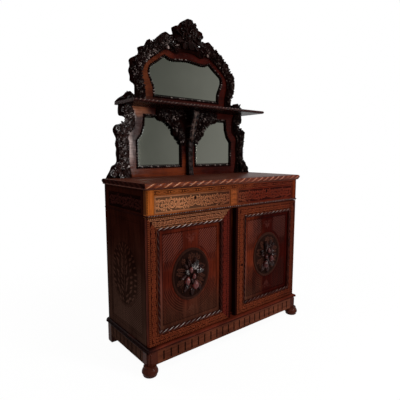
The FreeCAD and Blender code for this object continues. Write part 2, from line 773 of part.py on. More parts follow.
def make_drawer(name, side):
    x_range, y_range, z_range = drawer_ranges(side)
    back_y = y_range[1] + drawer_length - drawer_front_thickness
    side_z = (z_range[0], z_range[0] + drawer_side_height)
    inner = (x_range[0] + drawer_side_thickness, x_range[1] - drawer_side_thickness)
    bottom_z = (z_range[0] + drawer_bottom_rise, z_range[0] + drawer_bottom_rise + drawer_bottom_thickness)
    bottom = block((inner[0] - drawer_bottom_groove, inner[1] + drawer_bottom_groove),
                   (y_range[1] - drawer_bottom_groove, back_y - drawer_side_thickness), bottom_z)
    sides = [block((x_range[0], inner[0]), (y_range[1], back_y), side_z),
             block((inner[1], x_range[1]), (y_range[1], back_y), side_z)]
    rear = block(inner, (back_y - drawer_side_thickness, back_y), side_z)
    x = sum(x_range) / 2
    lock_top = z_range[1]
    case = block((x - drawer_lock_width / 2, x + drawer_lock_width / 2),
                 (y_range[1] - drawer_bolt_setback, y_range[1] - drawer_bolt_setback + drawer_lock_depth),
                 (lock_top - drawer_lock_height, lock_top))
    hole_level = lock_top - drawer_lock_height / 2
    hole_y = (y_range[0], y_range[1] + drawer_lock_depth)
    front = block(x_range, y_range, z_range).cut([bottom, case, keyhole(x, hole_level, hole_y)])
    way_x, way_y, way_z = widened(drawer_bolt_place(side), bolt_clearance)
    case = case.cut(block(way_x, way_y, (way_z[0], lock_top + cut_overrun)))
    case = case.cut(keyhole(x, hole_level, hole_y))
    save("drawer_%s_front" % name, front)
    save("drawer_%s_box" % name, *[s.cut(bottom) for s in sides], rear, bottom)
    save("drawer_%s_lock" % name, case)
    save("drawer_%s_lock_bolt" % name, block(*drawer_bolt_place(side)))


def lower_band(y_range):
    right = places(lower_band_shares, lower_back_half, table_level, lower_back_height)
    curve = smooth([Vector(x, y_range[0], z) for x, z in right])
    other = smooth([Vector(-x, y_range[0], z) for x, z in right])
    ends = [(right[0], (-right[0][0], right[0][1])), (right[-1], (-right[-1][0], right[-1][1]))]
    lines = [Part.LineSegment(*[Vector(x, y_range[0], z) for x, z in pair]).toShape() for pair in ends]
    return prism([curve, other] + lines, Vector(0, y_range[1] - y_range[0], 0))


def lower_glass_outline(side, rim):
    """Corners of one lower glass, set out by rim on every side."""
    outer = places(lower_glass_shares, lower_back_half, table_level, lower_back_height, side)
    bottom, top = outer[0][1], outer[-1][1]
    inner_x = side * (lower_glass_inner - rim)
    grown = [(x + side * rim, z) for x, z in outer]
    grown[0] = (grown[0][0], bottom - rim)
    grown[-1] = (grown[-1][0], top + rim)
    return [(inner_x, bottom - rim)] + grown + [(inner_x, top + rim)]


def make_lower_back():
    whole = (board_front, board_back)
    glass_back = board_back - glass_backing
    pocket = (glass_back - glass_thickness, board_back + cut_overrun)
    frame = lower_band(whole)
    for side in (-1, 1):
        frame = frame.cut(front_prism(lower_glass_outline(side, 0), widened([whole], cut_overrun)[0]))
        frame = frame.cut(front_prism(lower_glass_outline(side, glass_lap + glass_clearance), pocket))
    low = table_level + lower_glass_shares[0][1] * lower_back_height
    high = table_level + lower_glass_shares[-1][1] * lower_back_height
    wide = (-body_width, body_width)
    levels = [(0, low), (high, 2 * table_level)]
    members = [frame.common(block(wide, whole, z_range)) for z_range in levels]
    uprights = frame.common(block(wide, whole, (low, high)))
    members += pieces_of(uprights)
    save("lower_frame", *[m for member in members for m in pieces_of(member)])
    for name, side in (("left", -1), ("right", 1)):
        outline = lower_glass_outline(side, glass_lap)
        save("lower_mirror_%s" % name, front_prism(outline, (glass_back - glass_thickness, glass_back)))
        edge = places(lower_scroll_shares, lower_back_half, table_level, lower_back_height, side)
        inside = lower_back_half / 2 * side
        carving = carved_plate(edge, [(inside, shelf_base), (inside, table_level)],
                               (board_front - back_frame_relief, board_back))
        save("lower_scroll_%s" % name, carving.cut(lower_band((whole[0] - cut_overrun, whole[1]))))


def make_bracket():
    """The console that carries the display shelf, and the two pierced arms beside it."""
    depth = [Vector(0, board_front - out * bracket_reach, table_level + z * lower_back_height)
             for out, z in bracket_shares]
    wall = [Vector(0, board_front, table_level), Vector(0, board_front, shelf_base)]
    console = prism([smooth(depth)] + path([depth[-1]] + wall + [depth[0]]), Vector(bracket_width, 0, 0))
    console.translate(Vector(-bracket_width / 2, 0, 0))
    save("centre_bracket", console)
    arms = []
    for side in (-1, 1):
        edge = places(arm_shares, arm_reach, table_level, lower_back_height, side)
        root = side * bracket_width / 2
        closing = [(root, edge[-1][1]), (root, shelf_base)]
        arms.append(carved_plate(edge, closing, (board_front - arm_relief, board_front)))
    save("bracket_arms", *arms)


def make_display_shelf():
    z_range = (shelf_base, display_level)
    x_range = (-display_shelf_half, display_shelf_half)
    lip = shelf_front + shelf_edge_depth
    save("display_shelf", block(x_range, (lip, board_back), z_range))
    corners = [Vector(x_range[0], lip, z) for z in z_range]
    nose = Vector(x_range[0], shelf_front, sum(z_range) / 2)
    edge = Part.Arc(corners[0], nose, corners[1]).toShape()
    save("shelf_edge", prism([edge] + path([corners[1], corners[0]]), Vector(x_range[1] - x_range[0], 0, 0)))


def upper_band(y_range):
    right = places(upper_band_shares, upper_half, display_level, upper_height)
    peak = (0, display_level + upper_height * band_peak_share)
    return carved_plate(right + [peak] + [(-x, z) for x, z in reversed(right)], [], y_range)


def upper_glass(y_range, rim):
    """The upper glass outline, set out by rim on every side."""
    outline = places(upper_glass_shares, upper_half, display_level, upper_height)
    low, high = outline[0][1], display_level + upper_height * glass_peak_share
    middle = (low + high) / 2
    grow_x, grow_z = 1 + rim / outline[0][0], 1 + 2 * rim / (high - low)
    right = [(x * grow_x, middle + (z - middle) * grow_z) for x, z in outline]
    peak = (0, high + rim)
    return carved_plate(right + [peak] + [(-x, z) for x, z in reversed(right)], [], y_range)


def make_upper_back():
    whole = (board_front, board_back)
    glass_back = board_back - glass_backing
    frame = upper_band(whole)
    frame = frame.cut(upper_glass(widened([whole], cut_overrun)[0], 0))
    frame = frame.cut(upper_glass((glass_back - glass_thickness, board_back + cut_overrun),
                                  glass_lap + glass_clearance))
    low = display_level + upper_glass_shares[0][1] * upper_height
    split = display_level + upper_split_height
    wide = (-body_width, body_width)
    levels = ((0, low), (low, split), (split, 2 * split))
    members = [frame.common(block(wide, whole, z_range)) for z_range in levels]
    save("upper_frame", *[m for member in members for m in pieces_of(member)])
    save("upper_mirror", upper_glass((glass_back - glass_thickness, glass_back), glass_lap))
    backs = [front_prism(lower_glass_outline(side, glass_lap), (glass_back, board_back)) for side in (-1, 1)]
    save("mirror_backs", *backs, upper_glass((glass_back, board_back), glass_lap))


def make_upper_carving():
    y_range = (board_front - back_frame_relief, board_back)
    band = upper_band(widened([y_range], cut_overrun)[0])
    low_x = upper_edge_shares[0][0] * upper_half
    for name, side in (("left", -1), ("right", 1)):
        edge = places(upper_edge_shares, upper_half, display_level, upper_height, side)
        inner = edge[-1][0]
        closing = [(inner, display_level + upper_split_height), (inner, display_level),
                   (side * low_x, display_level)]
        save("upper_carving_%s" % name, carved_plate(edge, closing, y_range).cut(band))
    base = display_level + crest_base
    right = places(crest_edge_shares, crest_half, base, crest_height)
    curve = right + [(0, base + crest_height)] + [(-x, z) for x, z in reversed(right)]
    foot = right[0][0]
    crest = carved_plate(curve, [(-foot, base - crest_height / 2), (foot, base - crest_height / 2)],
                         (board_front - crest_relief, board_back))
    boss = cylinder(boss_radius, crest_relief, Vector(0, board_front - 2 * crest_relief,
                                                      base + boss_rise_share * crest_height), Vector(0, 1, 0))
    crest = crest.cut(upper_band(widened([y_range], body_depth)[0])).fuse(boss)
    save("crest", crest.removeSplitter())


def make_shelf_scrolls():
    """Two small scrolls, each from beside the upper carving to the end of the shelf."""
    scrolls = []
    inner = upper_edge_shares[0][0] * upper_half + scroll_gap
    reach = display_shelf_half - inner
    for side in (-1, 1):
        edge = [(side * (inner + x * reach), display_level + z * scroll_height)
                for x, z in shelf_scroll_shares]
        scrolls.append(carved_plate(edge, [(side * inner, display_level)],
                                    (board_back - scroll_depth, board_back)))
    save("shelf_scrolls", *scrolls)


def make_battens():
    inner, outer = batten_centre - batten_width / 2, batten_centre + batten_width / 2
    z_range = (table_level, table_level + batten_height)
    save("battens", *[block((side * inner, side * outer), (board_back, back_plane), z_range)
                      for side in (-1, 1)])


make_feet()
make_plinth()
make_cap()
make_floor_and_back()
make_side("left", -1)
make_side("right", 1)
make_face()
make_drawer_case()
make_inner_shelf()
make_top()
make_bushes()
make_door("left", -1)
make_door("right", 1)
make_door_lock()
make_drawer("left", -1)
make_drawer("right", 1)
make_lower_back()
make_bracket()
make_display_shelf()
make_upper_back()
make_upper_carving()
make_shelf_scrolls()
make_battens()
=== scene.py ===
import json
import math
import random

import bmesh
import bpy
import numpy as np
from mathutils import Matrix, Vector


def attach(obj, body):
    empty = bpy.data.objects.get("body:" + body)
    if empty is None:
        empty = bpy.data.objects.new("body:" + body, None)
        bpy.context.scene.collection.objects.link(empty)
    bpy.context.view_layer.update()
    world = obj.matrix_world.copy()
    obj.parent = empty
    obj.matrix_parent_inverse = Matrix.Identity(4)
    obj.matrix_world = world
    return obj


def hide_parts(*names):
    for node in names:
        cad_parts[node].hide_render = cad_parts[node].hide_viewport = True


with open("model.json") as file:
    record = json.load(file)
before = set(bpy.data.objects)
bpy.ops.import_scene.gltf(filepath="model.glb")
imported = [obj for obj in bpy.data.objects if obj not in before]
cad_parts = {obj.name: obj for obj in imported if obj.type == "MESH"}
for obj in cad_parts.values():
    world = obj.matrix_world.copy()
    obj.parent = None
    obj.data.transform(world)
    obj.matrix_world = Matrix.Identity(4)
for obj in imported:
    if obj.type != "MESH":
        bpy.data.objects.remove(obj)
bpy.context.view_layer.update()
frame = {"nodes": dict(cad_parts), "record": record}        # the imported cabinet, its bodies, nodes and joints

mm = 0.001
half, front, back = 585, -217, 256        # the body's sides, front and back, in millimetres
tableLevel, displayLevel, boardFront = 988, 1425, 225


class Wire:        # a socket that can be reckoned with
    def __init__(self, recipe, socket):
        self.recipe, self.socket = recipe, socket

    def maths(self, operation, first, second, third=0.0):
        inputs = {0: first, 1: second, 2: third}
        return self.recipe.add("Math", {"operation": operation}, inputs).wire(0)

    def __add__(self, other):
        return self.maths("ADD", self, other)

    def __radd__(self, other):
        return self.maths("ADD", other, self)

    def __sub__(self, other):
        return self.maths("SUBTRACT", self, other)

    def __rsub__(self, other):
        return self.maths("SUBTRACT", other, self)

    def __mul__(self, other):
        return self.maths("MULTIPLY", self, other)

    def __rmul__(self, other):
        return self.maths("MULTIPLY", other, self)

    def most(self, other):
        return self.maths("MAXIMUM", self, other)

    def size(self):
        return self.maths("ABSOLUTE", self, 0.0)

    def ramp(self, low, high):        # 0 at low, 1 at high, smooth between
        settings = {"interpolation_type": "SMOOTHSTEP", "clamp": True}
        return self.recipe.add("MapRange", settings, {"Value": self, "From Min": low, "From Max": high}).wire(0)


class Made:
    def __init__(self, recipe, node):
        self.recipe, self.node = recipe, node

    def wire(self, name):
        return Wire(self.recipe, self.node.outputs[name])


class Recipe:
    def __init__(self, owner):        # a material or a world
        self.owner = owner
        owner.use_nodes = True
        self.tree = owner.node_tree
        self.tree.nodes.clear()

    def add(self, kind, settings=None, inputs=None):
        node = self.tree.nodes.new("ShaderNode" + kind)
        for name, value in (settings or {}).items():
            setattr(node, name, value)
        for name, value in (inputs or {}).items():
            if isinstance(value, Wire):
                self.tree.links.new(value.socket, node.inputs[name])
            else:
                node.inputs[name].default_value = value
        return Made(self, node)

    def place(self):
        return self.add("TexCoord").wire("Object")

    def noise(self, scales, detail=3.0, roughness=0.55, distortion=0.0):
        stretched = self.add("VectorMath", {"operation": "MULTIPLY"}, {0: self.place(), 1: scales}).wire(0)
        inputs = {"Vector": stretched, "Scale": 1.0, "Detail": detail, "Roughness": roughness, "Distortion": distortion}
        return self.add("TexNoise", None, inputs).wire(0)

    def axes(self):
        split = self.add("SeparateXYZ", None, {0: self.place()})
        return split.wire(0), split.wire(1), split.wire(2)

    def marked(self, name):        # a mark that the mesh carries; 0 where it has none
        return self.add("Attribute", {"attribute_name": name}).wire("Fac")

    def blend(self, factor, low, high, kind="MIX"):
        return self.add("Mix", {"data_type": "RGBA", "blend_type": kind}, {0: factor, 6: low, 7: high}).wire(2)

    def bumped(self, height, distance):
        return self.add("Bump", None, {"Strength": 1.0, "Distance": distance, "Height": height}).wire(0)

    def shaded(self, **sockets):
        inputs = {name.replace("_", " "): value for name, value in sockets.items()}
        shader = self.add("BsdfPrincipled", None, inputs).wire(0)
        self.add("OutputMaterial", None, {0: shader})
        return self.owner


def tint(colour, share=1.0):
    return tuple(channel * share for channel in colour) + (1.0,)


def woodFinish(name, dark, light, along="z", gloss=0.34, shine=0.015, glintWear=None, ground=None, zones=(), recessShade=None,
               hollowShadeStrength=0.85):
    recipe = Recipe(bpy.data.materials.new(name))
    x, y, z = recipe.axes()
    stretch = {"x": (5, 90, 90), "y": (90, 5, 90), "z": (90, 90, 5)}[along]
    grain = recipe.noise(stretch, 5.0, 0.62, 0.4)
    pores = recipe.noise(tuple(6 * s for s in stretch), 2.0, 0.5).ramp(0.56, 0.72)
    patches = recipe.noise((7, 7, 5), 3.0, 0.6)
    tone = (grain * 0.75 + patches * 0.55 - 0.15).ramp(0.22, 0.78)
    colour = recipe.blend(tone, tint(dark), tint(light))
    worn, shadeTone = tint(glintWear) if glintWear else tint(light, 1.8), tint(ground) if ground else tint(dark, 0.10)
    for zone in zones:        # stretches where the wood has another tone; most are painted sheen, painted reflections and painted shade
        ramps = [(axis - patches * 0.25).ramp(*zone[key]) for key, axis in (("x", x), ("z", z)) if key in zone]
        share = ramps[0] if len(ramps) == 1 else ramps[0] * ramps[1]
        colour = recipe.blend(share, colour, recipe.blend(tone, tint(zone["dark"]), tint(zone["light"])))
        worn = recipe.blend(share, worn, tint(zone.get("glintWear", zone["light"])))
        shadeTone = recipe.blend(share, shadeTone, tint(zone.get("ground", zone["dark"]), 1.0 if "ground" in zone else 0.10))
    # painted shade in the hollows that the mesh marks
    hollow = recipe.marked("hollow")
    if recessShade:        # painted shade in whatever lies behind the face
        depth = {"front": y - recessShade["plane"], "side": recessShade["plane"] - x.size()}[recessShade["face"]]
        paintedShade = depth.ramp(recessShade["depth"] * 0.15, recessShade["depth"])
        if recessShade.get("end"):
            paintedShade = paintedShade * (1.0 - depth.ramp(recessShade["end"], recessShade["end"] * 1.1))
        hollow = hollow.most(paintedShade)
    colour = recipe.blend(pores * 0.45, colour, tint(dark, 0.35))
    colour = recipe.blend(hollow * hollowShadeStrength, colour, shadeTone)
    # painted highlights, partly wear, where the mesh marks them
    colour = recipe.blend(recipe.marked("worn"), colour, worn)
    height = grain * 0.4 - pores * 0.6
    return recipe.shaded(Base_Color=colour, Roughness=gloss + hollow * 0.25 + pores * 0.12 + patches * 0.1 - 0.05,
                         Specular_IOR_Level=shine, Normal=recipe.bumped(height, 0.0003))


def carvedFinish(name, dark, light, gloss=0.3, shine=0.3, glintWear=None, span=(0.35, 0.85)):
    recipe = Recipe(bpy.data.materials.new(name))
    grain = recipe.noise((130, 130, 60), 4.0, 0.6, 0.3)
    patches = recipe.noise((22, 22, 22), 2.0, 0.6)
    colour = recipe.blend((grain * 0.6 + patches * 0.6).ramp(*span), tint(dark), tint(light))
    # painted shade in the hollows, and painted glints, partly wear, where the mesh marks them
    colour = recipe.blend(recipe.marked("hollow") * 0.9, colour, tint(dark, 0.15))
    colour = recipe.blend(recipe.marked("worn"), colour, tint(glintWear or light, 1.0 if glintWear else 1.6))
    height = recipe.noise((420, 420, 420), 3.0, 0.6)
    return recipe.shaded(Base_Color=colour, Roughness=gloss + patches.ramp(0.3, 0.75) * 0.16,
                         Specular_IOR_Level=shine, Normal=recipe.bumped(grain * 0.6 + height * 0.4, 0.0005))


def mirrorFinish(name, dim, bright, gleam):
    recipe = Recipe(bpy.data.materials.new(name))
    x, y, z = recipe.axes()
    cloud = recipe.noise((3.5, 3.5, 3.5), 3.0, 0.55)
    # painted reflection: darker towards the upper left, lighter towards the right
    share = (x * 1.15 - (z - 1.2) * 0.35 + cloud * 0.35).ramp(-0.45, 0.75)
    specks = recipe.noise((240, 240, 240), 2.0, 0.5).ramp(0.74, 0.80)
    colour = recipe.blend(share, tint(dim), tint(bright))
    colour = recipe.blend(specks * 0.5, colour, tint(dim, 0.4))
    # painted reflection on the bevels where the mesh marks them
    breaks = recipe.noise((60, 60, 60), 2.0, 0.5).ramp(0.30, 0.55)
    colour = recipe.blend(recipe.marked("worn") * breaks, colour, tint(gleam))
    return recipe.shaded(Base_Color=colour, Roughness=cloud * 0.05 + 0.02, Metallic=1.0)


def metalFinish(name, dark, light, gloss):
    recipe = Recipe(bpy.data.materials.new(name))
    blotches = recipe.noise((160, 160, 160), 4.0, 0.65)
    scratches = recipe.noise((900, 90, 900), 2.0, 0.5)
    colour = recipe.blend(blotches.ramp(0.35, 0.7), tint(dark), tint(light))
    return recipe.shaded(Base_Color=colour, Metallic=1.0, Roughness=blotches * 0.35 + gloss,
                         Normal=recipe.bumped(scratches, 0.0002))


print("finishes")
# painted sheen: the upper left is painted lighter and more orange and the right end keeps the darker tone; the sides
# turn lighter and more olive-brown towards the floor
paintedSheen = {"x": (0.20, -0.68), "z": (0.52, 0.60), "dark": (0.150, 0.034, 0.0060), "light": (0.350, 0.092, 0.0145)}
lowerSideTone = {"z": (0.64, 0.08), "dark": (0.0155, 0.0068, 0.0047), "light": (0.0390, 0.0185, 0.0130),
          "glintWear": (0.0900, 0.0470, 0.0340)}
# painted sheen from the middle of the left door's panel rightwards, painted shade towards the right door's far side
panelPaintedSheen = {"x": (-0.34, -0.20), "dark": (0.0260, 0.0034, 0.0012), "light": (0.1000, 0.0165, 0.0062),
            "glintWear": (0.160, 0.056, 0.043)}
panelPaintedShade = {"x": (0.00, 0.16), "dark": (0.0055, 0.0004, 0.0002), "light": (0.0220, 0.0016, 0.0008),
            "glintWear": (0.120, 0.043, 0.034)}
# darker and more olive towards the bottom
lowPanel = {"z": (0.36, 0.10), "dark": (0.0140, 0.0042, 0.0024), "light": (0.0480, 0.0150, 0.0085),
            "glintWear": (0.090, 0.036, 0.020)}
# painted sheen: the left drawer is painted lighter and more orange
drawerPaintedSheen = {"x": (0.06, -0.56), "dark": (0.082, 0.028, 0.0120), "light": (0.200, 0.072, 0.0310),
              "glintWear": (0.420, 0.182, 0.0800), "ground": (0.028, 0.014, 0.0080)}
# painted sheen on the left end of the bands
bandPaintedSheen = dict(paintedSheen, x=(-0.24, -0.56), dark=(0.035, 0.0070, 0.0020), light=(0.110, 0.0280, 0.0095))
# painted shade behind the front face
frontRecessShade = {"face": "front", "plane": front * mm}
# painted sheen towards the upper left
caseWood = woodFinish("caseWood", (0.022, 0.0028, 0.0013), (0.078, 0.0125, 0.0055), "x", shine=0.01,
                      zones=[dict(paintedSheen, dark=(0.090, 0.020, 0.0050), light=(0.230, 0.062, 0.0130))])
# painted shade: the cap's left end is painted darker
capWood = woodFinish("capWood", (0.022, 0.0028, 0.0013), (0.078, 0.0125, 0.0055), "x", shine=0.01,
                     zones=[{"x": (-0.64, -0.72), "dark": (0.0024, 0.0006, 0.0005),
                             "light": (0.0090, 0.0020, 0.0016)}])
# near-black copy for the side cords: painted shade
edgeWood = woodFinish("edgeWood", (0.0024, 0.0006, 0.0005), (0.0085, 0.0019, 0.0015), "y", gloss=0.3, shine=0.004)
# painted sheen towards the upper left, and painted shade on the post behind the doors
stileWood = woodFinish("stileWood", (0.036, 0.0050, 0.0012), (0.115, 0.0165, 0.0040), "z", gloss=0.26, shine=0.006,
                       zones=[paintedSheen],
                       recessShade=dict(frontRecessShade, depth=0.008))
# painted shade: darker towards the right
frameWood = woodFinish("frameWood", (0.020, 0.0022, 0.0010), (0.078, 0.0125, 0.0050), "z", glintWear=(0.130, 0.031, 0.012),
                       shine=0.006, hollowShadeStrength=0.8,
                       zones=[{"x": (0.16, 0.40), "dark": (0.011, 0.0011, 0.0005), "light": (0.044, 0.0060, 0.0024),
                               "glintWear": (0.085, 0.018, 0.008)}])
# darker copy for the right door's frame: painted shade, darkest along the edge at the gap between the doors
rightFrameWood = woodFinish("rightFrameWood", (0.014, 0.0015, 0.0007), (0.050, 0.0080, 0.0032), "z", shine=0.004,
                            zones=[{"x": (0.0355, 0.0305), "dark": (0.0030, 0.0005, 0.0004),
                                    "light": (0.0090, 0.0014, 0.0011)}])
# lighter copy of the frame wood with brighter painted highlights, for the left door's top rail
railWood = woodFinish("railWood", (0.028, 0.0054, 0.0024), (0.094, 0.0230, 0.0090), "x", shine=0.010, gloss=0.28,
                      glintWear=(0.260, 0.105, 0.050), hollowShadeStrength=0.88)
# painted shade: the left door's frame darkens towards the gap between the doors
leftFrameWood = woodFinish("leftFrameWood", (0.020, 0.0022, 0.0010), (0.078, 0.0125, 0.0050), "z", shine=0.006,
                           zones=[{"x": (-0.30, -0.22), "dark": (0.0045, 0.0005, 0.0003),
                                   "light": (0.0150, 0.0018, 0.0010)}])
# darker copy for the left door's closing stile: painted shade
closingWood = woodFinish("closingWood", (0.014, 0.0013, 0.0007), (0.058, 0.0060, 0.0033), "z", glintWear=(0.100, 0.014, 0.009),
                         shine=0.006, hollowShadeStrength=0.7)
panelWood = woodFinish("panelWood", (0.018, 0.0020, 0.0010), (0.070, 0.0100, 0.0045), "z", gloss=0.28, shine=0.005,
                       hollowShadeStrength=0.95,
                       glintWear=(0.160, 0.056, 0.043), zones=[panelPaintedSheen, lowPanel, panelPaintedShade])
# darker copy for the sides: painted shade
sideWood = woodFinish("sideWood", (0.006, 0.0014, 0.0008), (0.020, 0.0042, 0.0024), "z", gloss=0.4, shine=0.0,
                      glintWear=(0.048, 0.0130, 0.0075),
                      zones=[lowerSideTone], hollowShadeStrength=0.7)
# painted sheen on the left drawer, painted shade in the carved ground
drawerWood = woodFinish("drawerWood", (0.015, 0.0014, 0.0006), (0.056, 0.0055, 0.0022), "x", gloss=0.26, shine=0.008,
                        hollowShadeStrength=0.9, glintWear=(0.125, 0.022, 0.011), ground=(0.005, 0.0006, 0.0004), zones=[drawerPaintedSheen])
# painted sheen towards the left
borderWood = woodFinish("borderWood", (0.030, 0.0050, 0.0020), (0.100, 0.0190, 0.0080), "x", gloss=0.26, shine=0.02,
                        zones=[dict(paintedSheen, x=(0.10, -0.50))])
# painted sheen on the left end
bandWood = woodFinish("bandWood", (0.007, 0.0007, 0.0004), (0.030, 0.0034, 0.0020), "x", gloss=0.15, shine=0.018,
                      zones=[bandPaintedSheen])
# painted sheen on the left end, a painted reflection low on the left and painted light on the top band under the shelf
lowBandWood = woodFinish("lowBandWood", (0.008, 0.0009, 0.0006), (0.034, 0.0045, 0.0028), "x", gloss=0.15, shine=0.02,
                         zones=[dict(bandPaintedSheen, x=(0.05, -0.30), z=(1.06, 0.92), dark=(0.036, 0.0052, 0.0013),
                                     light=(0.110, 0.0200, 0.0058)),
                                {"x": (-0.49, -0.56), "z": (0.93, 1.04), "dark": (0.210, 0.145, 0.130),
                                 "light": (0.640, 0.500, 0.470)},
                                {"x": (-0.36, -0.50), "z": (1.22, 1.27), "dark": (0.120, 0.038, 0.018),
                                 "light": (0.340, 0.120, 0.058)}])
topWood = woodFinish("topWood", (0.024, 0.0066, 0.0038), (0.068, 0.0200, 0.0120), "x", gloss=0.34, shine=0.008)
# painted reflection: the right end is painted pale
shelfWood = woodFinish("shelfWood", (0.005, 0.0008, 0.0005), (0.017, 0.0030, 0.0018), "x", gloss=0.25, shine=0.008,
                       zones=[{"x": (0.55, 0.60), "dark": (0.050, 0.042, 0.038), "light": (0.110, 0.096, 0.088)}])
footWood = woodFinish("footWood", (0.016, 0.0032, 0.0018), (0.050, 0.0115, 0.0062), "z", gloss=0.18, shine=0.025)
# painted shade in the flutes
flutedWood = woodFinish("flutedWood", (0.026, 0.0060, 0.0030), (0.088, 0.0240, 0.0110), "x", hollowShadeStrength=0.93,
                        recessShade={"face": "front", "plane": (front - 14) * mm, "depth": 0.0018, "end": 0.0055})
# darker copy for the plinth's sides, with painted shade in the flutes
flutedSide = woodFinish("flutedSide", (0.016, 0.0070, 0.0048), (0.044, 0.0205, 0.0145), "y", gloss=0.42, shine=0.0,
                        recessShade={"face": "side", "plane": (half + 14) * mm, "depth": 0.0018, "end": 0.0055},
                        hollowShadeStrength=0.93)
# painted sheen towards the upper left, with painted glints on the twist
mouldingWood = woodFinish("mouldingWood", (0.028, 0.0040, 0.0016), (0.112, 0.0200, 0.0078), "x", gloss=0.16, shine=0.06,
                          glintWear=(0.400, 0.190, 0.130),
                          zones=[dict(paintedSheen, dark=(0.050, 0.008, 0.0022), light=(0.155, 0.031, 0.0080),
                                      glintWear=(0.52, 0.25, 0.13))])
# darker copy for the side cords, friezes and mouldings: painted shade
darkSide = woodFinish("darkSide", (0.0055, 0.0016, 0.0012), (0.0180, 0.0045, 0.0035), "y", gloss=0.4, shine=0.0)
pineWood = woodFinish("pineWood", (0.120, 0.062, 0.026), (0.250, 0.145, 0.066), "x", gloss=0.6, shine=0.1)
# near-white painted glints on the strands
ropeWood = carvedFinish("ropeWood", (0.0060, 0.0010, 0.0006), (0.0260, 0.0046, 0.0028), gloss=0.16, shine=0.012,
                        glintWear=(0.70, 0.60, 0.56))
# painted glints on the strands
darkRope = carvedFinish("darkRope", (0.006, 0.0010, 0.0006), (0.024, 0.0038, 0.0024), gloss=0.14, shine=0.04,
                        glintWear=(0.30, 0.20, 0.17))
# painted glints where the mesh marks them
carvedWood = carvedFinish("carvedWood", (0.0011, 0.0004, 0.0003), (0.0064, 0.0014, 0.0010), gloss=0.10, shine=0.024,
                          glintWear=(0.22, 0.168, 0.155))
# darker copy for the right-hand carvings: painted shade
dimCarvedWood = carvedFinish("dimCarvedWood", (0.0010, 0.0003, 0.0002), (0.0060, 0.0013, 0.0009), gloss=0.16, shine=0.015,
                             glintWear=(0.11, 0.078, 0.068))
# near-black sheets behind the carvings: painted shade
carvedGround = carvedFinish("carvedGround", (0.0020, 0.0008, 0.0006), (0.0070, 0.0018, 0.0014), gloss=0.5, shine=0.0)
# painted highlights, partly wear, on the raised parts
plaqueWood = woodFinish("plaqueWood", (0.0060, 0.0019, 0.0013), (0.0240, 0.0078, 0.0050), "z", gloss=0.3, shine=0.008,
                        glintWear=(0.062, 0.022, 0.014), hollowShadeStrength=0.7)
fruitWood = carvedFinish("fruitWood", (0.014, 0.0024, 0.0020), (0.110, 0.0190, 0.0160), gloss=0.12, shine=0.25)
# darker copy for the right door's fruit: painted shade
dimFruitWood = carvedFinish("dimFruitWood", (0.008, 0.0014, 0.0012), (0.046, 0.0085, 0.0072), gloss=0.14, shine=0.12)
leafWood = carvedFinish("leafWood", (0.0036, 0.0012, 0.0010), (0.0220, 0.0076, 0.0060), gloss=0.14, shine=0.09)
# lighter copy with painted highlights for three leaves on the left door
litLeafWood = carvedFinish("litLeafWood", (0.0080, 0.0040, 0.0034), (0.3000, 0.2600, 0.2500), gloss=0.12, shine=0.30,
                           span=(0.58, 0.78))
# painted highlights on the raised leaves
consoleWood = carvedFinish("consoleWood", (0.0032, 0.0010, 0.0008), (0.0170, 0.0054, 0.0042), gloss=0.15, shine=0.06,
                           glintWear=(0.130, 0.088, 0.074))
# copy with brighter painted glints for the left lower scroll
scrollWood = carvedFinish("scrollWood", (0.0040, 0.0014, 0.0011), (0.0200, 0.0066, 0.0052), gloss=0.16, shine=0.13,
                          glintWear=(0.60, 0.52, 0.500))
mirrorGlass = mirrorFinish("mirrorGlass", (0.062, 0.065, 0.053), (0.150, 0.152, 0.128), (0.62, 0.66, 0.64))
agedBrass = metalFinish("agedBrass", (0.070, 0.040, 0.014), (0.240, 0.150, 0.055), 0.3)
lockSteel = metalFinish("lockSteel", (0.06, 0.055, 0.05), (0.22, 0.21, 0.20), 0.3)
holeDark = carvedFinish("holeDark", (0.0010, 0.0008, 0.0008), (0.0030, 0.0025, 0.0022), gloss=0.8, shine=0.02)

dressing = {
    "plinth_cap": capWood, "plinth_front": flutedWood, "plinth_sides_and_back": flutedSide, "plinth_posts": footWood,
    "side_left_frame": sideWood, "side_right_frame": sideWood, "side_left_panels": sideWood,
    "side_right_panels": sideWood, "face_stiles": stileWood, "door_left_frame": leftFrameWood,
    "door_right_frame": rightFrameWood, "door_left_panel": panelWood, "door_right_panel": panelWood,
    "drawer_left_front": drawerWood, "drawer_right_front": drawerWood, "lower_frame": lowBandWood,
    "upper_frame": bandWood, "display_shelf": shelfWood, "cupboard_floor": caseWood, "foot_rear_left": footWood, "foot_rear_right": footWood,
    "lower_scroll_left": carvedGround, "lower_scroll_right": carvedGround, "upper_carving_left": carvedGround,
    "upper_carving_right": carvedGround, "bracket_arms": carvedGround, "crest": carvedGround,
    "shelf_scrolls": carvedGround}
pieceFinish = {"case_wood": caseWood, "carved_wood": carvedWood, "inner_wood": pineWood,
               "mirror_glass": mirrorGlass, "brass": agedBrass, "lock_steel": lockSteel}
slotOf = {part["node"]: part["material_slot"] for part in frame["record"]["subparts"]}
for nodeName, nodeObject in frame["nodes"].items():
    finish = dressing.get(nodeName, pieceFinish[slotOf[nodeName]])
    nodeObject.data.materials.clear()
    nodeObject.data.materials.append(finish)


def finishPiece(name, bm, body, finish, nodes=(), sharp=42, marks=None):
    bmesh.ops.recalc_face_normals(bm, faces=bm.faces)
    mesh = bpy.data.meshes.new(name)
    bm.to_mesh(mesh)
    bm.free()
    mesh.transform(Matrix.Scale(mm, 4))
    mesh.shade_smooth()
    mesh.set_sharp_from_angle(angle=math.radians(sharp))
    mesh.materials.append(finish)
    for markName, values in (marks or {}).items():
        mesh.attributes.new(markName, "FLOAT", "POINT").data.foreach_set("value", values.astype(np.float32))
    piece = bpy.data.objects.new(name, mesh)
    bpy.context.scene.collection.objects.link(piece)
    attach(piece, body)
    if nodes:
        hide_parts(*nodes)
    return piece


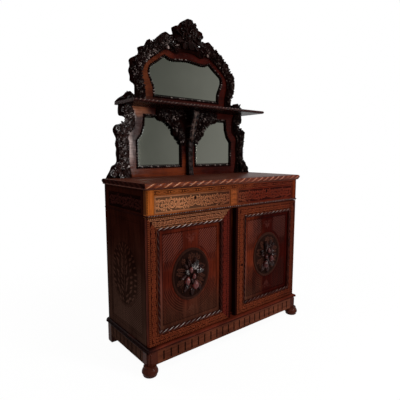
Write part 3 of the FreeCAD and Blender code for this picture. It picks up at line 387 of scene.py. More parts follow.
def sheetBlank(columns, rows):        # a fine grid over a closed skirt and back
    bm = bmesh.new()
    bmesh.ops.create_grid(bm, x_segments=columns, y_segments=rows, size=0.5)
    rim = [edge for edge in bm.edges if edge.is_boundary]
    skirt = bmesh.ops.extrude_edge_only(bm, edges=rim)["geom"]
    foot = {part for part in skirt if isinstance(part, bmesh.types.BMVert)}
    bmesh.ops.translate(bm, vec=(0, 0, -1), verts=list(foot))
    footEdges = [edge for edge in bm.edges if edge.verts[0] in foot and edge.verts[1] in foot]
    bmesh.ops.edgeloop_fill(bm, edges=footEdges)
    return bm


def blankPoints(bm):
    points = np.array([vert.co for vert in bm.verts])
    return points[:, 0] + 0.5, points[:, 1] + 0.5, points[:, 2] < -0.5


def movePoints(bm, points):
    for vert, point in zip(bm.verts, points):
        vert.co = point


def runsOf(line):
    return np.concatenate([[0], np.cumsum(np.linalg.norm(np.diff(line, axis=0), axis=1))])


def smoothPath(points, step):        # a soft line through points, evenly spaced
    spots = np.array(points, float)
    count = len(spots)
    rows = []
    for k in range(count - 1):
        a, b, c, d = spots[[min(max(k + j, 0), count - 1) for j in (-1, 0, 1, 2)]]
        f = np.linspace(0, 1, 12, endpoint=False)[:, None]
        rows.append(0.5 * (2 * b + (c - a) * f + (2 * a - 5 * b + 4 * c - d) * f ** 2
                           + (3 * b - a - 3 * c + d) * f ** 3))
    line = np.concatenate(rows + [spots[-1:]])
    runs = runsOf(line)
    even = np.linspace(0, runs[-1], max(3, round(runs[-1] / step) + 1))
    return np.stack([np.interp(even, runs, line[:, i]) for i in range(line.shape[1])], axis=1)


class Relief:        # heights over a sheet, in millimetres, built up stamp by stamp
    def __init__(self, s, t, seed=1):
        self.s, self.t = s, t
        self.h = np.zeros_like(s)
        self.chooser = random.Random(seed)
        self.punch = np.random.default_rng(seed).normal(0, 0.12, s.shape)

    def around(self, place, reach):
        ds, dt = self.s - place[0], self.t - place[1]
        near = np.flatnonzero((np.abs(ds) < reach) & (np.abs(dt) < reach))
        return near, ds[near], dt[near]

    def lift(self, near, values):
        self.h[near] = np.maximum(self.h[near], values)

    def leaf(self, place, angle, length, width, rise=2.2, lobes=3):
        near, ds, dt = self.around(place, length * 1.05)
        run = (ds * math.cos(angle) + dt * math.sin(angle)) / length
        across = (dt * math.cos(angle) - ds * math.sin(angle)) / (width / 2)
        along = np.clip(run, 0, 1)
        edge = np.sin(math.pi * along ** 0.75) ** 0.7 * (1 - 0.25 * np.cos(2 * math.pi * lobes * along))
        ratio = np.abs(across) / np.maximum(edge, 0.02)
        crown = np.sqrt(np.clip(1 - ratio ** 2, 0, 1)) * (1 - 0.55 * np.exp(-(across / 0.16) ** 2))
        self.lift(near, rise * np.where((run > 0) & (run < 1), crown, 0) * (0.6 + 0.4 * np.sin(math.pi * along)))

    def ball(self, place, radius, rise):
        near, ds, dt = self.around(place, radius)
        self.lift(near, rise * np.sqrt(np.clip(1 - (ds ** 2 + dt ** 2) / radius ** 2, 0, 1)))

    def stem(self, points, radius, rise):
        for spot in smoothPath(points, radius * 0.7):
            self.ball(spot, radius, rise)

    def rosette(self, place, radius, petals=6, rise=2.4, turn=0.0):
        near, ds, dt = self.around(place, radius)
        out, angle = np.hypot(ds, dt) / radius, np.arctan2(dt, ds) + turn
        lobe = np.abs(np.cos(petals * angle / 2))
        body = np.clip(1 - out / (0.62 + 0.38 * lobe), 0, 1) ** 0.35 * (0.5 + 0.5 * lobe)
        self.lift(near, rise * body * (0.6 + 0.4 * out))
        self.ball(place, radius * 0.28, rise * 1.05)

    def volute(self, place, radius, turns=1.3, hand=1, rise=2.0, turn=0.0, tube=1.7):
        self.stem([(place[0] + radius * (1 - 0.8 * f) * math.cos(turn + hand * 2 * math.pi * turns * f),
                    place[1] + radius * (1 - 0.8 * f) * math.sin(turn + hand * 2 * math.pi * turns * f))
                   for f in (k / 16 for k in range(17))], tube, rise)

    def wave(self, middle, swing, period, start, end, radius=2.4, rise=2.0, phase=0.0):
        turn = 2 * math.pi * (self.s - start) / period + phase
        slope = swing * 2 * math.pi / period * np.cos(turn)
        away = np.abs(self.t - middle - swing * np.sin(turn)) / np.sqrt(1 + slope ** 2)
        inside = (self.s > start) & (self.s < end)
        self.h = np.maximum(self.h, np.where(inside, rise * np.sqrt(np.clip(1 - (away / radius) ** 2, 0, 1)), 0))

    def beads(self, level, pitch, radius, rise, start=0.0, stretch=1.0):        # a row of beads along s
        ds = (self.s - start) % pitch - pitch / 2
        reach = (ds / (radius * stretch)) ** 2 + ((self.t - level) / radius) ** 2
        self.h = np.maximum(self.h, rise * np.sqrt(np.clip(1 - reach, 0, 1)))

    def ledge(self, low, high, rise, soft=1.2):        # a raised strip between two values of t
        body = np.clip((self.t - low) / soft, 0, 1) * np.clip((high - self.t) / soft, 0, 1)
        self.h = np.maximum(self.h, rise * body)

    def foliage(self, start, end, middle, reach, rise=2.2):        # leafy scrolls along s
        count = max(2, round((end - start) / (2.0 * reach)))
        wave = (end - start) / count
        choose = self.chooser.uniform
        self.wave(middle, 0.6 * reach, 2 * wave, start, end, reach * 0.06 + 0.8, rise * 0.75)
        for k in range(count):
            sign = 1 if k % 2 == 0 else -1
            eye = (start + (k + 0.5) * wave, middle - sign * 0.16 * reach)
            self.volute(eye, 0.70 * reach, 1.2, sign, rise * 0.8, sign * math.pi / 2, reach * 0.06 + 0.6)
            for j in range(9):
                angle = 2 * math.pi * j / 9 + choose(-0.2, 0.2)
                out = reach * (0.34 + 0.2 * (j % 2))
                self.leaf((eye[0] + out * math.cos(angle), eye[1] + out * math.sin(angle)),
                          angle + sign * choose(0.4, 1.1), reach * choose(0.40, 0.55), reach * choose(0.22, 0.30),
                          rise * choose(0.8, 1.0))
            self.rosette(eye, 0.27 * reach, 5, rise * 1.1, choose(0, 1))
            for side in (-1, 1):
                for lean in (-0.6, 0.5):
                    self.leaf((start + k * wave + 0.1 * reach, middle + side * 0.2 * reach), side * math.pi / 2 + lean,
                              0.72 * reach, 0.3 * reach, rise * choose(0.75, 1.0))


    def scatter(self, count, s0, s1, t0, t1, length, lean=0.8):        # loose leaves that lie both ways
        choose = self.chooser.uniform
        for k in range(count):
            size = length * choose(0.7, 1.2)
            self.leaf((choose(s0, s1), choose(t0, t1)), lean * (1 if k % 3 else -1) + choose(-0.5, 0.5), size,
                      size * choose(0.32, 0.46), choose(2.2, 3.2))


def shadeMarks(h, columns, rows, top):        # painted shade in the hollows, and painted highlights, partly wear, on the ridges
    count = (columns + 1) * (rows + 1)
    field = h[:count].reshape(rows + 1, columns + 1) / top
    soft = field
    for axis in (0, 1):
        soft = sum(np.roll(soft, k, axis) for k in range(-3, 4)) / 7
    proud = (field - soft).ravel()
    field = field.ravel()
    rest = np.zeros(len(h) - count)
    hollow = np.clip(0.75 - 1.1 * field - 1.5 * proud, 0, 1)
    worn = np.clip(1.5 * proud + 0.35 * (field - 0.55), 0, 0.85)
    return {"hollow": np.concatenate([hollow, rest]), "worn": np.concatenate([worn, rest])}


def carveSheet(name, body, finish, size, step, warp, relief, place, nodes=(), sharp=60, top=2.4):
    columns, rows = max(2, round(size[0] / step)), max(2, round(size[1] / step))
    bm = sheetBlank(columns, rows)
    u, v, isBack = blankPoints(bm)
    s, t = warp(u, v)
    made, marks = relief(s, t)
    found = shadeMarks(made, columns, rows, top)
    for markName, values in (marks or {}).items():        # a given mark of -1 leaves the found one
        found[markName] = np.where(values < 0, found[markName], values)
    movePoints(bm, np.stack(place(s, t, made, isBack), axis=1))
    return finishPiece(name, bm, body, finish, nodes, sharp, found)


def addMesh(bm, part, matrix=None):
    mesh = bpy.data.meshes.new("part")
    part.to_mesh(mesh)
    part.free()
    if matrix is not None:
        mesh.transform(matrix)
    bm.from_mesh(mesh)
    bpy.data.meshes.remove(mesh)


# the way the painted glints face
glintWay = np.array((-0.35, -0.72, 0.60))


def addRope(bm, line, radius, period, outward, sides=10, depth=0.3, glint=0.0, strands=2):
    line = np.asarray(line, float)
    runs = runsOf(line)
    lead = np.gradient(line, axis=0)
    lead /= np.linalg.norm(lead, axis=1)[:, None]
    across = np.cross(lead, np.array(outward, float))
    across /= np.linalg.norm(across, axis=1)[:, None]
    lift = np.cross(across, lead)
    rope = bmesh.new()
    bmesh.ops.create_grid(rope, x_segments=len(line) - 1, y_segments=sides, size=0.5)
    spots = np.array([vert.co for vert in rope.verts])
    ring = np.rint((spots[:, 0] + 0.5) * (len(line) - 1)).astype(int)
    angle = (spots[:, 1] + 0.5) * 2 * math.pi
    strand = np.abs(np.cos(angle * strands / 2 - math.pi * runs[ring] / period)) ** 0.8
    # painted shade in the grooves between the strands
    paintedShade = rope.verts.layers.float.new("hollow")
    for vert, share in zip(rope.verts, strand):
        vert[paintedShade] = min(1.0, max(0.0, 1.15 - 1.6 * share))
    reach = (radius * (1 - depth + depth * strand))[:, None]
    turned = across[ring] * np.cos(angle)[:, None] + lift[ring] * np.sin(angle)[:, None]
    movePoints(rope, line[ring] + turned * reach)
    if glint:        # painted glints on the crowns where the rope faces up and out, some strands more than others
        share = np.random.default_rng(len(line)).uniform(0.25, 1.0, 97)
        turn = np.rint(runs[ring] / period - angle * strands / 2 / math.pi).astype(int) % 97
        lit = np.clip(turned @ glintWay, 0, 1) ** 3 * np.clip((strand - 0.955) / 0.04, 0, 1) * glint * share[turn]
        worn = rope.verts.layers.float.new("worn")
        for vert, share in zip(rope.verts, lit):
            vert[worn] = share
    bmesh.ops.remove_doubles(rope, verts=rope.verts, dist=0.002)
    loose = [edge for edge in rope.edges if edge.is_boundary]
    if loose:
        bmesh.ops.holes_fill(rope, edges=loose, sides=0)
    bmesh.ops.recalc_face_normals(rope, faces=rope.faces)
    addMesh(bm, rope)


def straight(start, end, step):
    start, end = np.array(start, float), np.array(end, float)
    count = max(2, round(np.linalg.norm(end - start) / step))
    return start + (end - start) * np.linspace(0, 1, count + 1)[:, None]


def addTurning(bm, profile, place, sides=32, axis=(0, 0, 1)):        # a lathe shape over (radius, height) pairs
    part = bmesh.new()
    verts = [part.verts.new((radius, 0, level)) for radius, level in profile]
    edges = [part.edges.new(pair) for pair in zip(verts, verts[1:])]
    bmesh.ops.spin(part, geom=verts + edges, cent=(0, 0, 0), axis=(0, 0, 1), angle=2 * math.pi, steps=sides,
                   use_merge=True)
    bmesh.ops.remove_doubles(part, verts=part.verts, dist=0.01)
    turn = Vector((0, 0, 1)).rotation_difference(Vector(axis)).to_matrix().to_4x4()
    addMesh(bm, part, Matrix.Translation(place) @ turn)


def leafTemplate(name, widths, bow, curl, vein=0.05):        # a lobed leaf of unit length and width on a low base
    bm = bmesh.new()
    bmesh.ops.create_grid(bm, x_segments=4, y_segments=len(widths) - 1, size=0.5)
    rim = [edge for edge in bm.edges if edge.is_boundary]
    for vert in list(bm.verts):
        across, along = vert.co.x * 2, vert.co.y + 0.5
        wide = widths[round(along * (len(widths) - 1))]
        ridge = vein if abs(across) > 0.2 else -vein
        vert.co = (across * wide / 2, along - 0.06 * abs(across) * wide,
                   0.14 + bow * math.sin(math.pi * along) * (1 - 0.55 * across ** 2) + curl * along ** 2 + ridge)
    skirt = bmesh.ops.extrude_edge_only(bm, edges=rim)["geom"]
    foot = {part for part in skirt if isinstance(part, bmesh.types.BMVert)}
    for vert in foot:
        vert.co.z = curl * (vert.co.y ** 2) * 0.75 - 0.1
        vert.co.x *= 0.86
    bmesh.ops.edgeloop_fill(bm, edges=[e for e in bm.edges if e.verts[0] in foot and e.verts[1] in foot])
    bmesh.ops.remove_doubles(bm, verts=bm.verts, dist=0.001)
    bmesh.ops.recalc_face_normals(bm, faces=bm.faces)
    mesh = bpy.data.meshes.new(name)
    bm.to_mesh(mesh)
    bm.free()
    return mesh


oakLeaf = leafTemplate("oakLeaf", (0.28, 0.95, 0.50, 1.0, 0.48, 0.62, 0.0), 0.16, 0.16, 0.09)
lobe = leafTemplate("lobe", (0.35, 0.85, 1.0, 0.72, 0.98, 0.85, 0.45), 0.22, 0.06, 0.08)
petal = leafTemplate("petal", (0.35, 0.7, 0.95, 1.0, 0.85, 0.35), 0.20, 0.12, 0.07)
bigLeaf = leafTemplate("bigLeaf", (0.22, 0.62, 0.95, 0.62, 1.0, 0.60, 0.80, 0.42, 0.42, 0.0), 0.26, 0.16, 0.09)
sphere = bmesh.new()
bmesh.ops.create_uvsphere(sphere, u_segments=8, v_segments=5, radius=1)
berry = bpy.data.meshes.new("berry")
sphere.to_mesh(berry)
sphere.free()


def plant(bm, template, matrix, gleam=0.0):        # gleam: how strong the painted highlight is on its side towards the light
    copy = template.copy()
    copy.transform(matrix)
    if gleam:
        ways = np.array([vert.normal for vert in copy.vertices])
        lit = gleam * np.clip(ways @ glintWay * 2.8 - 1.7, 0, 1)
        copy.attributes.new("worn", "FLOAT", "POINT").data.foreach_set("value", lit.astype(np.float32))
    bm.from_mesh(copy)
    bpy.data.meshes.remove(copy)


def plantBall(bm, x, y, z, radius, gleam=0.0):
    plant(bm, berry, Matrix.Translation((x, y, z)) @ Matrix.Scale(radius, 4), gleam)


def facing(x, z, angle, length, width, rise, y, lean=0.0, roll=0.0):        # how a leaf lies on a front
    out = Vector((0, -1, 0))
    along = Vector((math.cos(angle), 0, math.sin(angle)))
    tipped = (along * math.cos(lean) + out * math.sin(lean)).normalized()
    across = along.cross(out)
    raised = across.cross(tipped)
    rolled = across * math.cos(roll) + raised * math.sin(roll)
    raised = raised * math.cos(roll) - across * math.sin(roll)
    turn = Matrix((rolled * width, tipped * length, raised * rise)).transposed().to_4x4()
    return Matrix.Translation((x, y, z)) @ turn


def addBerries(bm, x, z, y, radius, count, chooser):
    for k in range(count):
        angle, out = 2.4 * k, radius * 1.05 * math.sqrt(k)
        # painted glints on some berries
        plantBall(bm, x + out * math.cos(angle), y - radius * 0.4 - chooser.uniform(0, radius * 0.6),
                  z + out * math.sin(angle), radius * chooser.uniform(0.8, 1.1), max(0.0, chooser.uniform(-2.4, 0.9)))


def addFlower(bm, x, z, y, radius, petals, chooser):
    for row in range(2):
        size = radius * (1 - 0.36 * row)
        for k in range(petals - row):
            angle = 2 * math.pi * (k + 0.5 * row) / (petals - row) + chooser.uniform(-0.15, 0.15)
            # painted glints on some petals
            plant(bm, petal, facing(x, z, angle, size, size * 0.75, size * 0.6, y - 0.12 * radius * row,
                                    0.15 + 0.3 * row, chooser.uniform(-0.3, 0.3)),
                  max(0.0, chooser.uniform(-2.0, 0.7)))
    # a painted glint on the middle
    plantBall(bm, x, y - 0.36 * radius, z, radius * 0.24, 0.8)


def addVolute(bm, x, z, y, radius, tube, hand=1, turns=1.5, start=0.0):
    f = np.linspace(0, 1, 26)
    angle = start + hand * 2 * math.pi * turns * f
    reach = radius * (1 - 0.82 * f)
    line = np.stack([x + reach * np.cos(angle), y - 4 * f, z + reach * np.sin(angle)], axis=1)
    addRope(bm, line, tube, radius * 1.5, (0, -1, 0), sides=6, depth=0.12)
    plantBall(bm, x, y - tube * 0.8, z, tube * 1.3)


def plainWarp(width, height):
    return lambda u, v: (u * width, v * height)


def onFront(left, base, level=0.0):        # from a sheet's s and t to the front of the case
    def place(s, t, h, isBack):
        return left + s, np.where(isBack, front + level + 1.2, front + level - 0.3 - h), base + t
    return place


print("feet and plinth")
foot = {"setIn": 5, "setBack": 4,
        "profile": ((0, 0), (29, 0), (32, 0.8), (35.4, 2.4), (37, 5), (36.8, 7.2), (35.6, 8.9), (35.4, 10.2),
                    (36.4, 11.6), (39.4, 14.4), (42, 18.4), (43, 23), (42.4, 28), (40.6, 34), (37.6, 40), (34.4, 45),
                    (32.6, 48), (32.4, 50), (33.6, 51.6), (33.4, 53.8), (0, 53.8))}
for side, sign in (("left", -1), ("right", 1)):
    bm = bmesh.new()
    addTurning(bm, foot["profile"], (sign * (half - foot["setIn"]), front + foot["setBack"], 0), 40)
    finishPiece("bunFoot_" + side, bm, "cabinet", footWood, ["foot_front_" + side], 70)

cap = {"lip": 16, "lipLevel": 131.5, "cord": 3.6, "period": 13, "bead": 7.5}
edgeX, edgeY = half + cap["lip"] - 1.5, front - cap["lip"] + 1.5
bm = bmesh.new()
addRope(bm, straight((-edgeX, edgeY, cap["lipLevel"]), (edgeX, edgeY, cap["lipLevel"]), 2.6), cap["cord"],
        cap["period"], (0, -1, 0), 8)
finishPiece("plinthCord_front", bm, "cabinet", ropeWood)
bm = bmesh.new()
for sign in (-1, 1):
    addRope(bm, straight((sign * edgeX, edgeY, cap["lipLevel"]), (sign * edgeX, back - 8, cap["lipLevel"]), 20),
            cap["bead"], cap["period"], (sign, 0, 0), 16, 0)
finishPiece("plinthCord_sides", bm, "cabinet", edgeWood, (), 60)

reed = {"level": (62, 119), "radius": 4.6, "turns": (-0.5, 0.0, 0.5)}
bm = bmesh.new()
for sign in (-1, 1):
    corner = (sign * (half + 14 - 20), front - 14 + 20)
    for turn in reed["turns"]:
        angle = math.radians(-45) + turn * math.radians(70)
        spot = (corner[0] + sign * 18.6 * math.cos(angle), corner[1] + 18.6 * math.sin(angle), 0)
        profile = [(0, reed["level"][0])]
        for k in range(1, 4):
            bend = k * math.pi / 6
            profile.append((reed["radius"] * math.sin(bend), reed["level"][0] + 5 * (1 - math.cos(bend))))
        profile += [(radius, sum(reed["level"]) - level) for radius, level in reversed(profile)]
        addTurning(bm, profile, spot, 10)
finishPiece("cornerReeds", bm, "cabinet", footWood, (), 70)

print("waist and frieze")
waist = {"level": 824, "cord": 4.6, "period": 16, "knob": 6.2}
waistX, waistY = half + 0.2, front - 0.2
bm = bmesh.new()
# with painted glints on the rope
addRope(bm, straight((-waistX, waistY, waist["level"]), (waistX, waistY, waist["level"]), 2.6), waist["cord"],
        waist["period"], (0, -1, 0), 16, 0.3, 0.6)
for sign in (-1, 1):
    plantBall(bm, sign * waistX, waistY, waist["level"], waist["knob"])
finishPiece("waistCord_front", bm, "cabinet", ropeWood, ["waist_beads"])
bm = bmesh.new()
for sign in (-1, 1):
    addRope(bm, straight((sign * waistX, waistY, waist["level"]), (sign * waistX, back - 4, waist["level"]), 2.6),
            waist["cord"], waist["period"], (sign, 0, 0), 8)
finishPiece("waistCord_sides", bm, "cabinet", darkSide)


def friezeRelief(s, t):        # a chain of long ovals with a dot between each two
    made = Relief(s, t, 3)
    made.beads(13.8, 90, 7.8, 2.0, 0, 4.7)
    core = Relief(s, t)
    core.beads(13.8, 90, 4.8, 1.7, 0, 6.4)
    made.h = np.clip(made.h - core.h, 0, 9)
    made.beads(13.8, 90, 2.4, 1.8, 0, 6.0)
    made.beads(13.8, 90, 4.0, 2.4, 45)
    made.ledge(0.5, 4.5, 1.2)
    made.ledge(23.5, 27.5, 1.4)
    return made.h + made.punch * 0.5, None


carveSheet("friezeCarving", "cabinet", caseWood, (1086, 28), 1.9, plainWarp(1086, 28), friezeRelief,
           onFront(-543, 925.5), top=2.2)


def stileRelief(s, t):        # t runs up the stile
    made = Relief(t, s, 5)
    made.beads(3.4, 8.0, 3.0, 2.4)
    made.ledge(8.0, 39.5, 1.0, 2.2)
    groove = np.exp(-((made.t - 33.5) / 0.9) ** 2) + np.exp(-((made.t - 14.0) / 0.9) ** 2)
    made.h = made.h - 0.9 * groove * (made.t > 8)
    beaded = made.t < 8
    # painted shade between the beads and in the low parts, painted highlights on the bead tops
    return made.h, {"hollow": np.where(beaded, np.clip(1.5 - made.h / 1.8, 0.2, 0.95), np.clip(0.85 - made.h / 0.9, 0, 1)),
                    "worn": np.clip(made.h / 2.4 - 0.75, 0, 0.25) * 2}


def stilePlacer(sign):
    return lambda s, t, h, isBack: (sign * (half - s), np.where(isBack, front + 1.2, front - 0.3 - h), 834.5 + t)


for side, sign in (("left", -1), ("right", 1)):
    carveSheet("cornerStile_" + side, "cabinet", stileWood, (41.5, 119), 1.6, plainWarp(41.5, 119),
               stileRelief, stilePlacer(sign))


def middleStileRelief(s, t):
    made = Relief(t, s, 6)
    made.ledge(2, 54, 0.9, 2.0)
    for k in range(3):
        eye = (15 + k * 30, 28)
        made.rosette(eye, 9, 6, 2.4)
        for turn in (1, -1, 0.45, -0.45, 2.7, -2.7):
            made.leaf(eye, turn * math.pi / 2, 21, 8, 2.0)
    return made.h, None


carveSheet("middleStile", "cabinet", borderWood, (55, 90), 1.7, plainWarp(55, 90), middleStileRelief,
           onFront(-27.5, 834.5))

print("drawers")
drawer = {"inner": 29.5, "outer": 541.5, "base": 834.3, "top": 923.5, "keyX": 285.5, "keyZ": 900.5, "rim": 9}


def keyCalm(s, t, h, place, radius=9.0):        # flattens the carving round a keyhole
    away = np.hypot(s - place[0], (t - place[1]) * 0.75 + 2)
    return h * np.clip((away - radius * 0.7) / (radius * 0.4), 0, 1)


def drawerRelief(s, t):
    width, height, rim = drawer["outer"] - drawer["inner"], drawer["top"] - drawer["base"], drawer["rim"]
    edge = np.minimum(np.minimum(s, width - s), np.minimum(t, height - t))
    made = Relief(np.minimum(s, width - s), t, 11)        # the right half mirrors the left
    made.foliage(rim + 4, width / 2 + 8, height / 2, height / 2 - rim, 2.8)
    made.scatter(46, rim, width / 2, rim + 4, height - rim - 14, 21)
    h = keyCalm(s, t, made.h, (drawer["keyX"] - drawer["inner"], drawer["keyZ"] - drawer["base"]))
    field = edge > rim
    border = 2.0 * np.clip((edge + 0.4) / 2.0, 0, 1) * np.clip((rim - edge) / 1.2 + 0.2, 0, 1)
    h = np.where(field, h + made.punch, border)
    # on the border: painted shade where it drops to the field and a faint painted highlight
    return h, {"hollow": np.where(field, -1, np.clip((edge - rim + 1.2) / 1.2, 0, 1)), "worn": np.where(field, -1, 0.1)}


def addKeyhole(bm, x, z, y, size=1.0):
    part = bmesh.new()
    bmesh.ops.create_circle(part, cap_ends=True, segments=16, radius=3.4 * size)
    slot = bmesh.new()
    bmesh.ops.create_circle(slot, cap_ends=True, segments=4, radius=3.0 * size)
    bmesh.ops.rotate(slot, verts=slot.verts, cent=(0, 0, 0), matrix=Matrix.Rotation(math.radians(45), 3, "Z"))
    bmesh.ops.scale(slot, verts=slot.verts, vec=(0.7, 2.5, 1))
    bmesh.ops.translate(slot, verts=slot.verts, vec=(0, -5.5 * size, 0))
    for shape in (part, slot):
        rise = [v for v in bmesh.ops.extrude_face_region(shape, geom=list(shape.faces))["geom"]
                if isinstance(v, bmesh.types.BMVert)]
        bmesh.ops.translate(shape, verts=rise, vec=(0, 0, 0.9))
        bmesh.ops.recalc_face_normals(shape, faces=shape.faces)
        addMesh(bm, shape, Matrix.Translation((x, y, z)) @ Matrix.Rotation(math.radians(90), 4, "X"))


def drawerPlacer(sign):
    level = front + 2
    return lambda s, t, h, isBack: (sign * (drawer["inner"] + s), np.where(isBack, level + 1.2, level - 0.3 - h),
                                    drawer["base"] + t)


for side, sign in (("left", -1), ("right", 1)):
    size = (drawer["outer"] - drawer["inner"], drawer["top"] - drawer["base"])
    carveSheet("drawerCarving_" + side, side + "_drawer", drawerWood, size, 1.7, plainWarp(*size),
               drawerRelief, drawerPlacer(sign), top=2.8)
    bm = bmesh.new()
    addKeyhole(bm, sign * drawer["keyX"], drawer["keyZ"], front + 1.6, 1.5)
    finishPiece("drawerKeyhole_" + side, bm, side + "_drawer", holeDark)

# glints: how strong the painted glints are on each of a door's four ropes
door = {"inner": 34, "base": 148, "top": 815, "strip": 55, "frame": 69, "rope": 9.2, "ropePeriod": 37,
        "glints": {"left": (0.55, 0.12, 0.8, 0.02), "right": (0.12, 0.02, 0.35, 0.06)},
        "panel": 10, "ovalX": 126, "ovalZ": 145, "pitch": 12.0, "keyX": 75, "keyZ": 458}
doorMiddle = ((half + door["inner"]) / 2, (door["base"] + door["top"]) / 2)
doorWidth, doorHeight = half - door["inner"], door["top"] - door["base"]


def doorStripRelief(length, pattern, seed):
    def relief(s, t):
        made = Relief(s, t, seed)
        made.beads(5.5, 10.5, 3.9, 2.2)
        made.ledge(9.5, 14.5, 1.5)
        made.ledge(51.5, 55.5, 1.6)
        middle, reach = 33, 17.5
        if pattern == "scroll":
            made.foliage(20, length - 20, middle, reach, 2.8)
            made.scatter(70, 24, length - 40, 18, 40, 17)
        else:        # two crossing stems with a flower or a leaf pair in each eye
            count = round((length - 60) / 46)
            period = (length - 60) / count
            for phase in (0.0, math.pi):
                made.wave(middle, 13, 2 * period, 30, length - 30, 2.0, 2.2, phase)
            for k in range(count):
                eye = (30 + (k + 0.5) * period, middle)
                if k % 2 == 0:
                    made.rosette(eye, 8.5, 6, 3.0)
                for turn in (0, math.pi):
                    made.leaf(eye, turn, 22, 15 if k % 2 else 9, 3.0)
                    for lean in (-0.8, 0.8):
                        made.leaf(eye, turn + lean, 17, 8, 2.6)
                for side in (-1, 1):
                    for lean in (-0.7, 0.7):
                        made.leaf((30 + k * period, middle), side * math.pi / 2 + lean, 18, 9, 2.8)
        return made.h + made.punch * (made.h < 0.4), None
    return relief


def doorMember(name, body, sign, start, end, isRail, low, pattern, seed, finish):
    length = end - start
    relief = doorStripRelief(length, pattern, seed)

    def warp(u, v):        # mitred at both ends
        t = v * door["strip"]
        return t + u * (length - 2 * t), t

    def place(s, t, h, isBack):
        y = np.where(isBack, front + 1.2, front - 0.3 - h)
        if isRail:
            return sign * (start + s), y, (door["base"] + t if low else door["top"] - t)
        return sign * (door["inner"] + t if low else half - t), y, start + s

    def keyed(s, t):
        h, marks = relief(s, t)
        if name == "doorStile_right_closing":
            h = keyCalm(s, t, h, (door["keyZ"] - start, door["keyX"] - door["inner"]))
        return h, marks
    carveSheet(name, body, finish, (length, door["strip"]), 1.9, warp, keyed, place, top=2.6)


def ovalRing(s, t):
    return np.sqrt((s / door["ovalX"]) ** 2 + (t / door["ovalZ"]) ** 2)


def panelRelief(s, t):        # s and t from the middle of the oval
    x, z, ring = np.abs(s), np.abs(t), ovalRing(s, t)
    edge = np.minimum(doorWidth / 2 - door["frame"] - x, doorHeight / 2 - door["frame"] - z)
    lowest = np.where(t > 0, 1.14, 1.5)        # the hatched corners come close to the oval above, less so below
    field = np.clip((ring - lowest) / 0.05, 0, 1) * np.clip((edge - 24) / 3, 0, 1)
    field = field * np.clip((x - 52) / 12, 0, 1) * np.clip((z - 88) / 12, 0, 1)
    ridge = 0.5 + 0.5 * np.cos(2 * math.pi * np.where(t > 0, s - t, s + t) / (door["pitch"] * math.sqrt(2)))
    corner = np.clip((np.minimum(x, z) - 42) / 25, 0, 1)
    outside = corner * (1 - field) * np.clip((ring - 1.06) / 0.04, 0, 1) * np.clip((1.52 - ring) / 0.05, 0, 1)
    outside = outside * np.clip((edge - 26) / 6, 0, 1)
    arcs = (0.5 + 0.5 * np.cos(2 * math.pi * ring / 0.085)) * outside
    rim = np.clip((21 - edge) / 3, 0, 1)
    h = np.where(edge < 24, 0.6 + 1.1 * rim, 0.6 - 1.4 * field * (1 - ridge) - 1.0 * arcs)
    carving = Relief(s, t, 22)
    for sign in (1, -1):
        carving.rosette((0, sign * 205), 12, 6, 2.6)
        for turn in (-1.5, -0.75, 0.0, 0.75, 1.5):
            carving.leaf((0, sign * 200), -sign * math.pi / 2 + turn, 36 - 5 * abs(turn), 13, 2.4)
        for turn in (-1, 1):
            carving.leaf((0, sign * 208), sign * (math.pi / 2 - turn * 0.95), 32, 12, 2.2)
            carving.volute((turn * 30, sign * 214), 11, 1.2, turn * sign, 2.0)
    # painted shade in the hatching, the arcs, the groove round the field and the carving's low parts; painted
    # highlights on the ridges and the carving's tops
    hollow = field * np.clip(1.6 - 1.5 * ridge, 0, 1) + 0.8 * arcs + np.exp(-((edge - 22.5) / 1.6) ** 2)
    hollow = np.maximum(hollow, 0.5 * (carving.h > 0.05) * (carving.h < 0.8))
    worn = 0.5 * field * np.clip(3.2 * ridge - 2.2, 0, 1) * np.clip(0.45 + 0.75 * t / 240, 0.3, 1)
    worn = worn + 0.10 * np.clip(1 - 2 * arcs, 0, 1) * outside + np.clip(carving.h / 2.4 - 0.6, 0, 0.2)
    worn = worn + 0.30 * rim * (s < -180) * np.clip(0.8 - t / 200, 0, 1)        # painted highlight on the rim that faces the light
    return h + carving.h, {"hollow": np.clip(hollow, 0, 1), "worn": np.clip(worn, 0, 1)}


def ovalRelief(s, t):
    made = Relief(s, t, 31)
    ring = ovalRing(s, t)
    choose = random.Random(7).uniform
    for k in range(16):
        angle = 2 * math.pi * k / 16 + choose(-0.15, 0.15)
        made.leaf((44 * math.cos(angle), 56 * math.sin(angle)), angle + choose(-0.7, 0.7), choose(42, 68),
                  choose(20, 32), choose(2.4, 3.6), 4)
    for k in range(10):
        angle = 2 * math.pi * (k + 0.5) / 10
        made.volute((86 * math.cos(angle), 102 * math.sin(angle)), 13, 1.2, 1 if k % 2 else -1, 2.4, angle)
    dish = 2.6 * np.clip((ring - 0.88) / 0.06, 0, 1) * np.clip((1.005 - ring) / 0.03, 0, 1)
    h = np.where(ring > 0.86, np.maximum(made.h * np.clip((0.95 - ring) / 0.05, 0, 1), dish), made.h)
    # the rim gets a flat share of painted shade and painted highlight
    return h + made.punch, {"hollow": np.where(ring > 0.9, 0.25, -1), "worn": np.where(ring > 0.9, 0.08, -1)}


def ovalWarp(u, v):        # a square grid drawn into an oval
    a, b = 2 * u - 1, 2 * v - 1
    return door["ovalX"] * a * np.sqrt(1 - b ** 2 / 2), door["ovalZ"] * b * np.sqrt(1 - a ** 2 / 2)


def panelWarp(u, v):
    return (u - 0.5) * (doorWidth - 2 * door["frame"] + 4), (v - 0.5) * (doorHeight - 2 * door["frame"] + 4)


def panelPlacer(sign):
    level = front + door["panel"]
    return lambda s, t, h, isBack: (sign * doorMiddle[0] + s, np.where(isBack, level + 1.2, level - 0.4 - h),
                                    doorMiddle[1] + t)


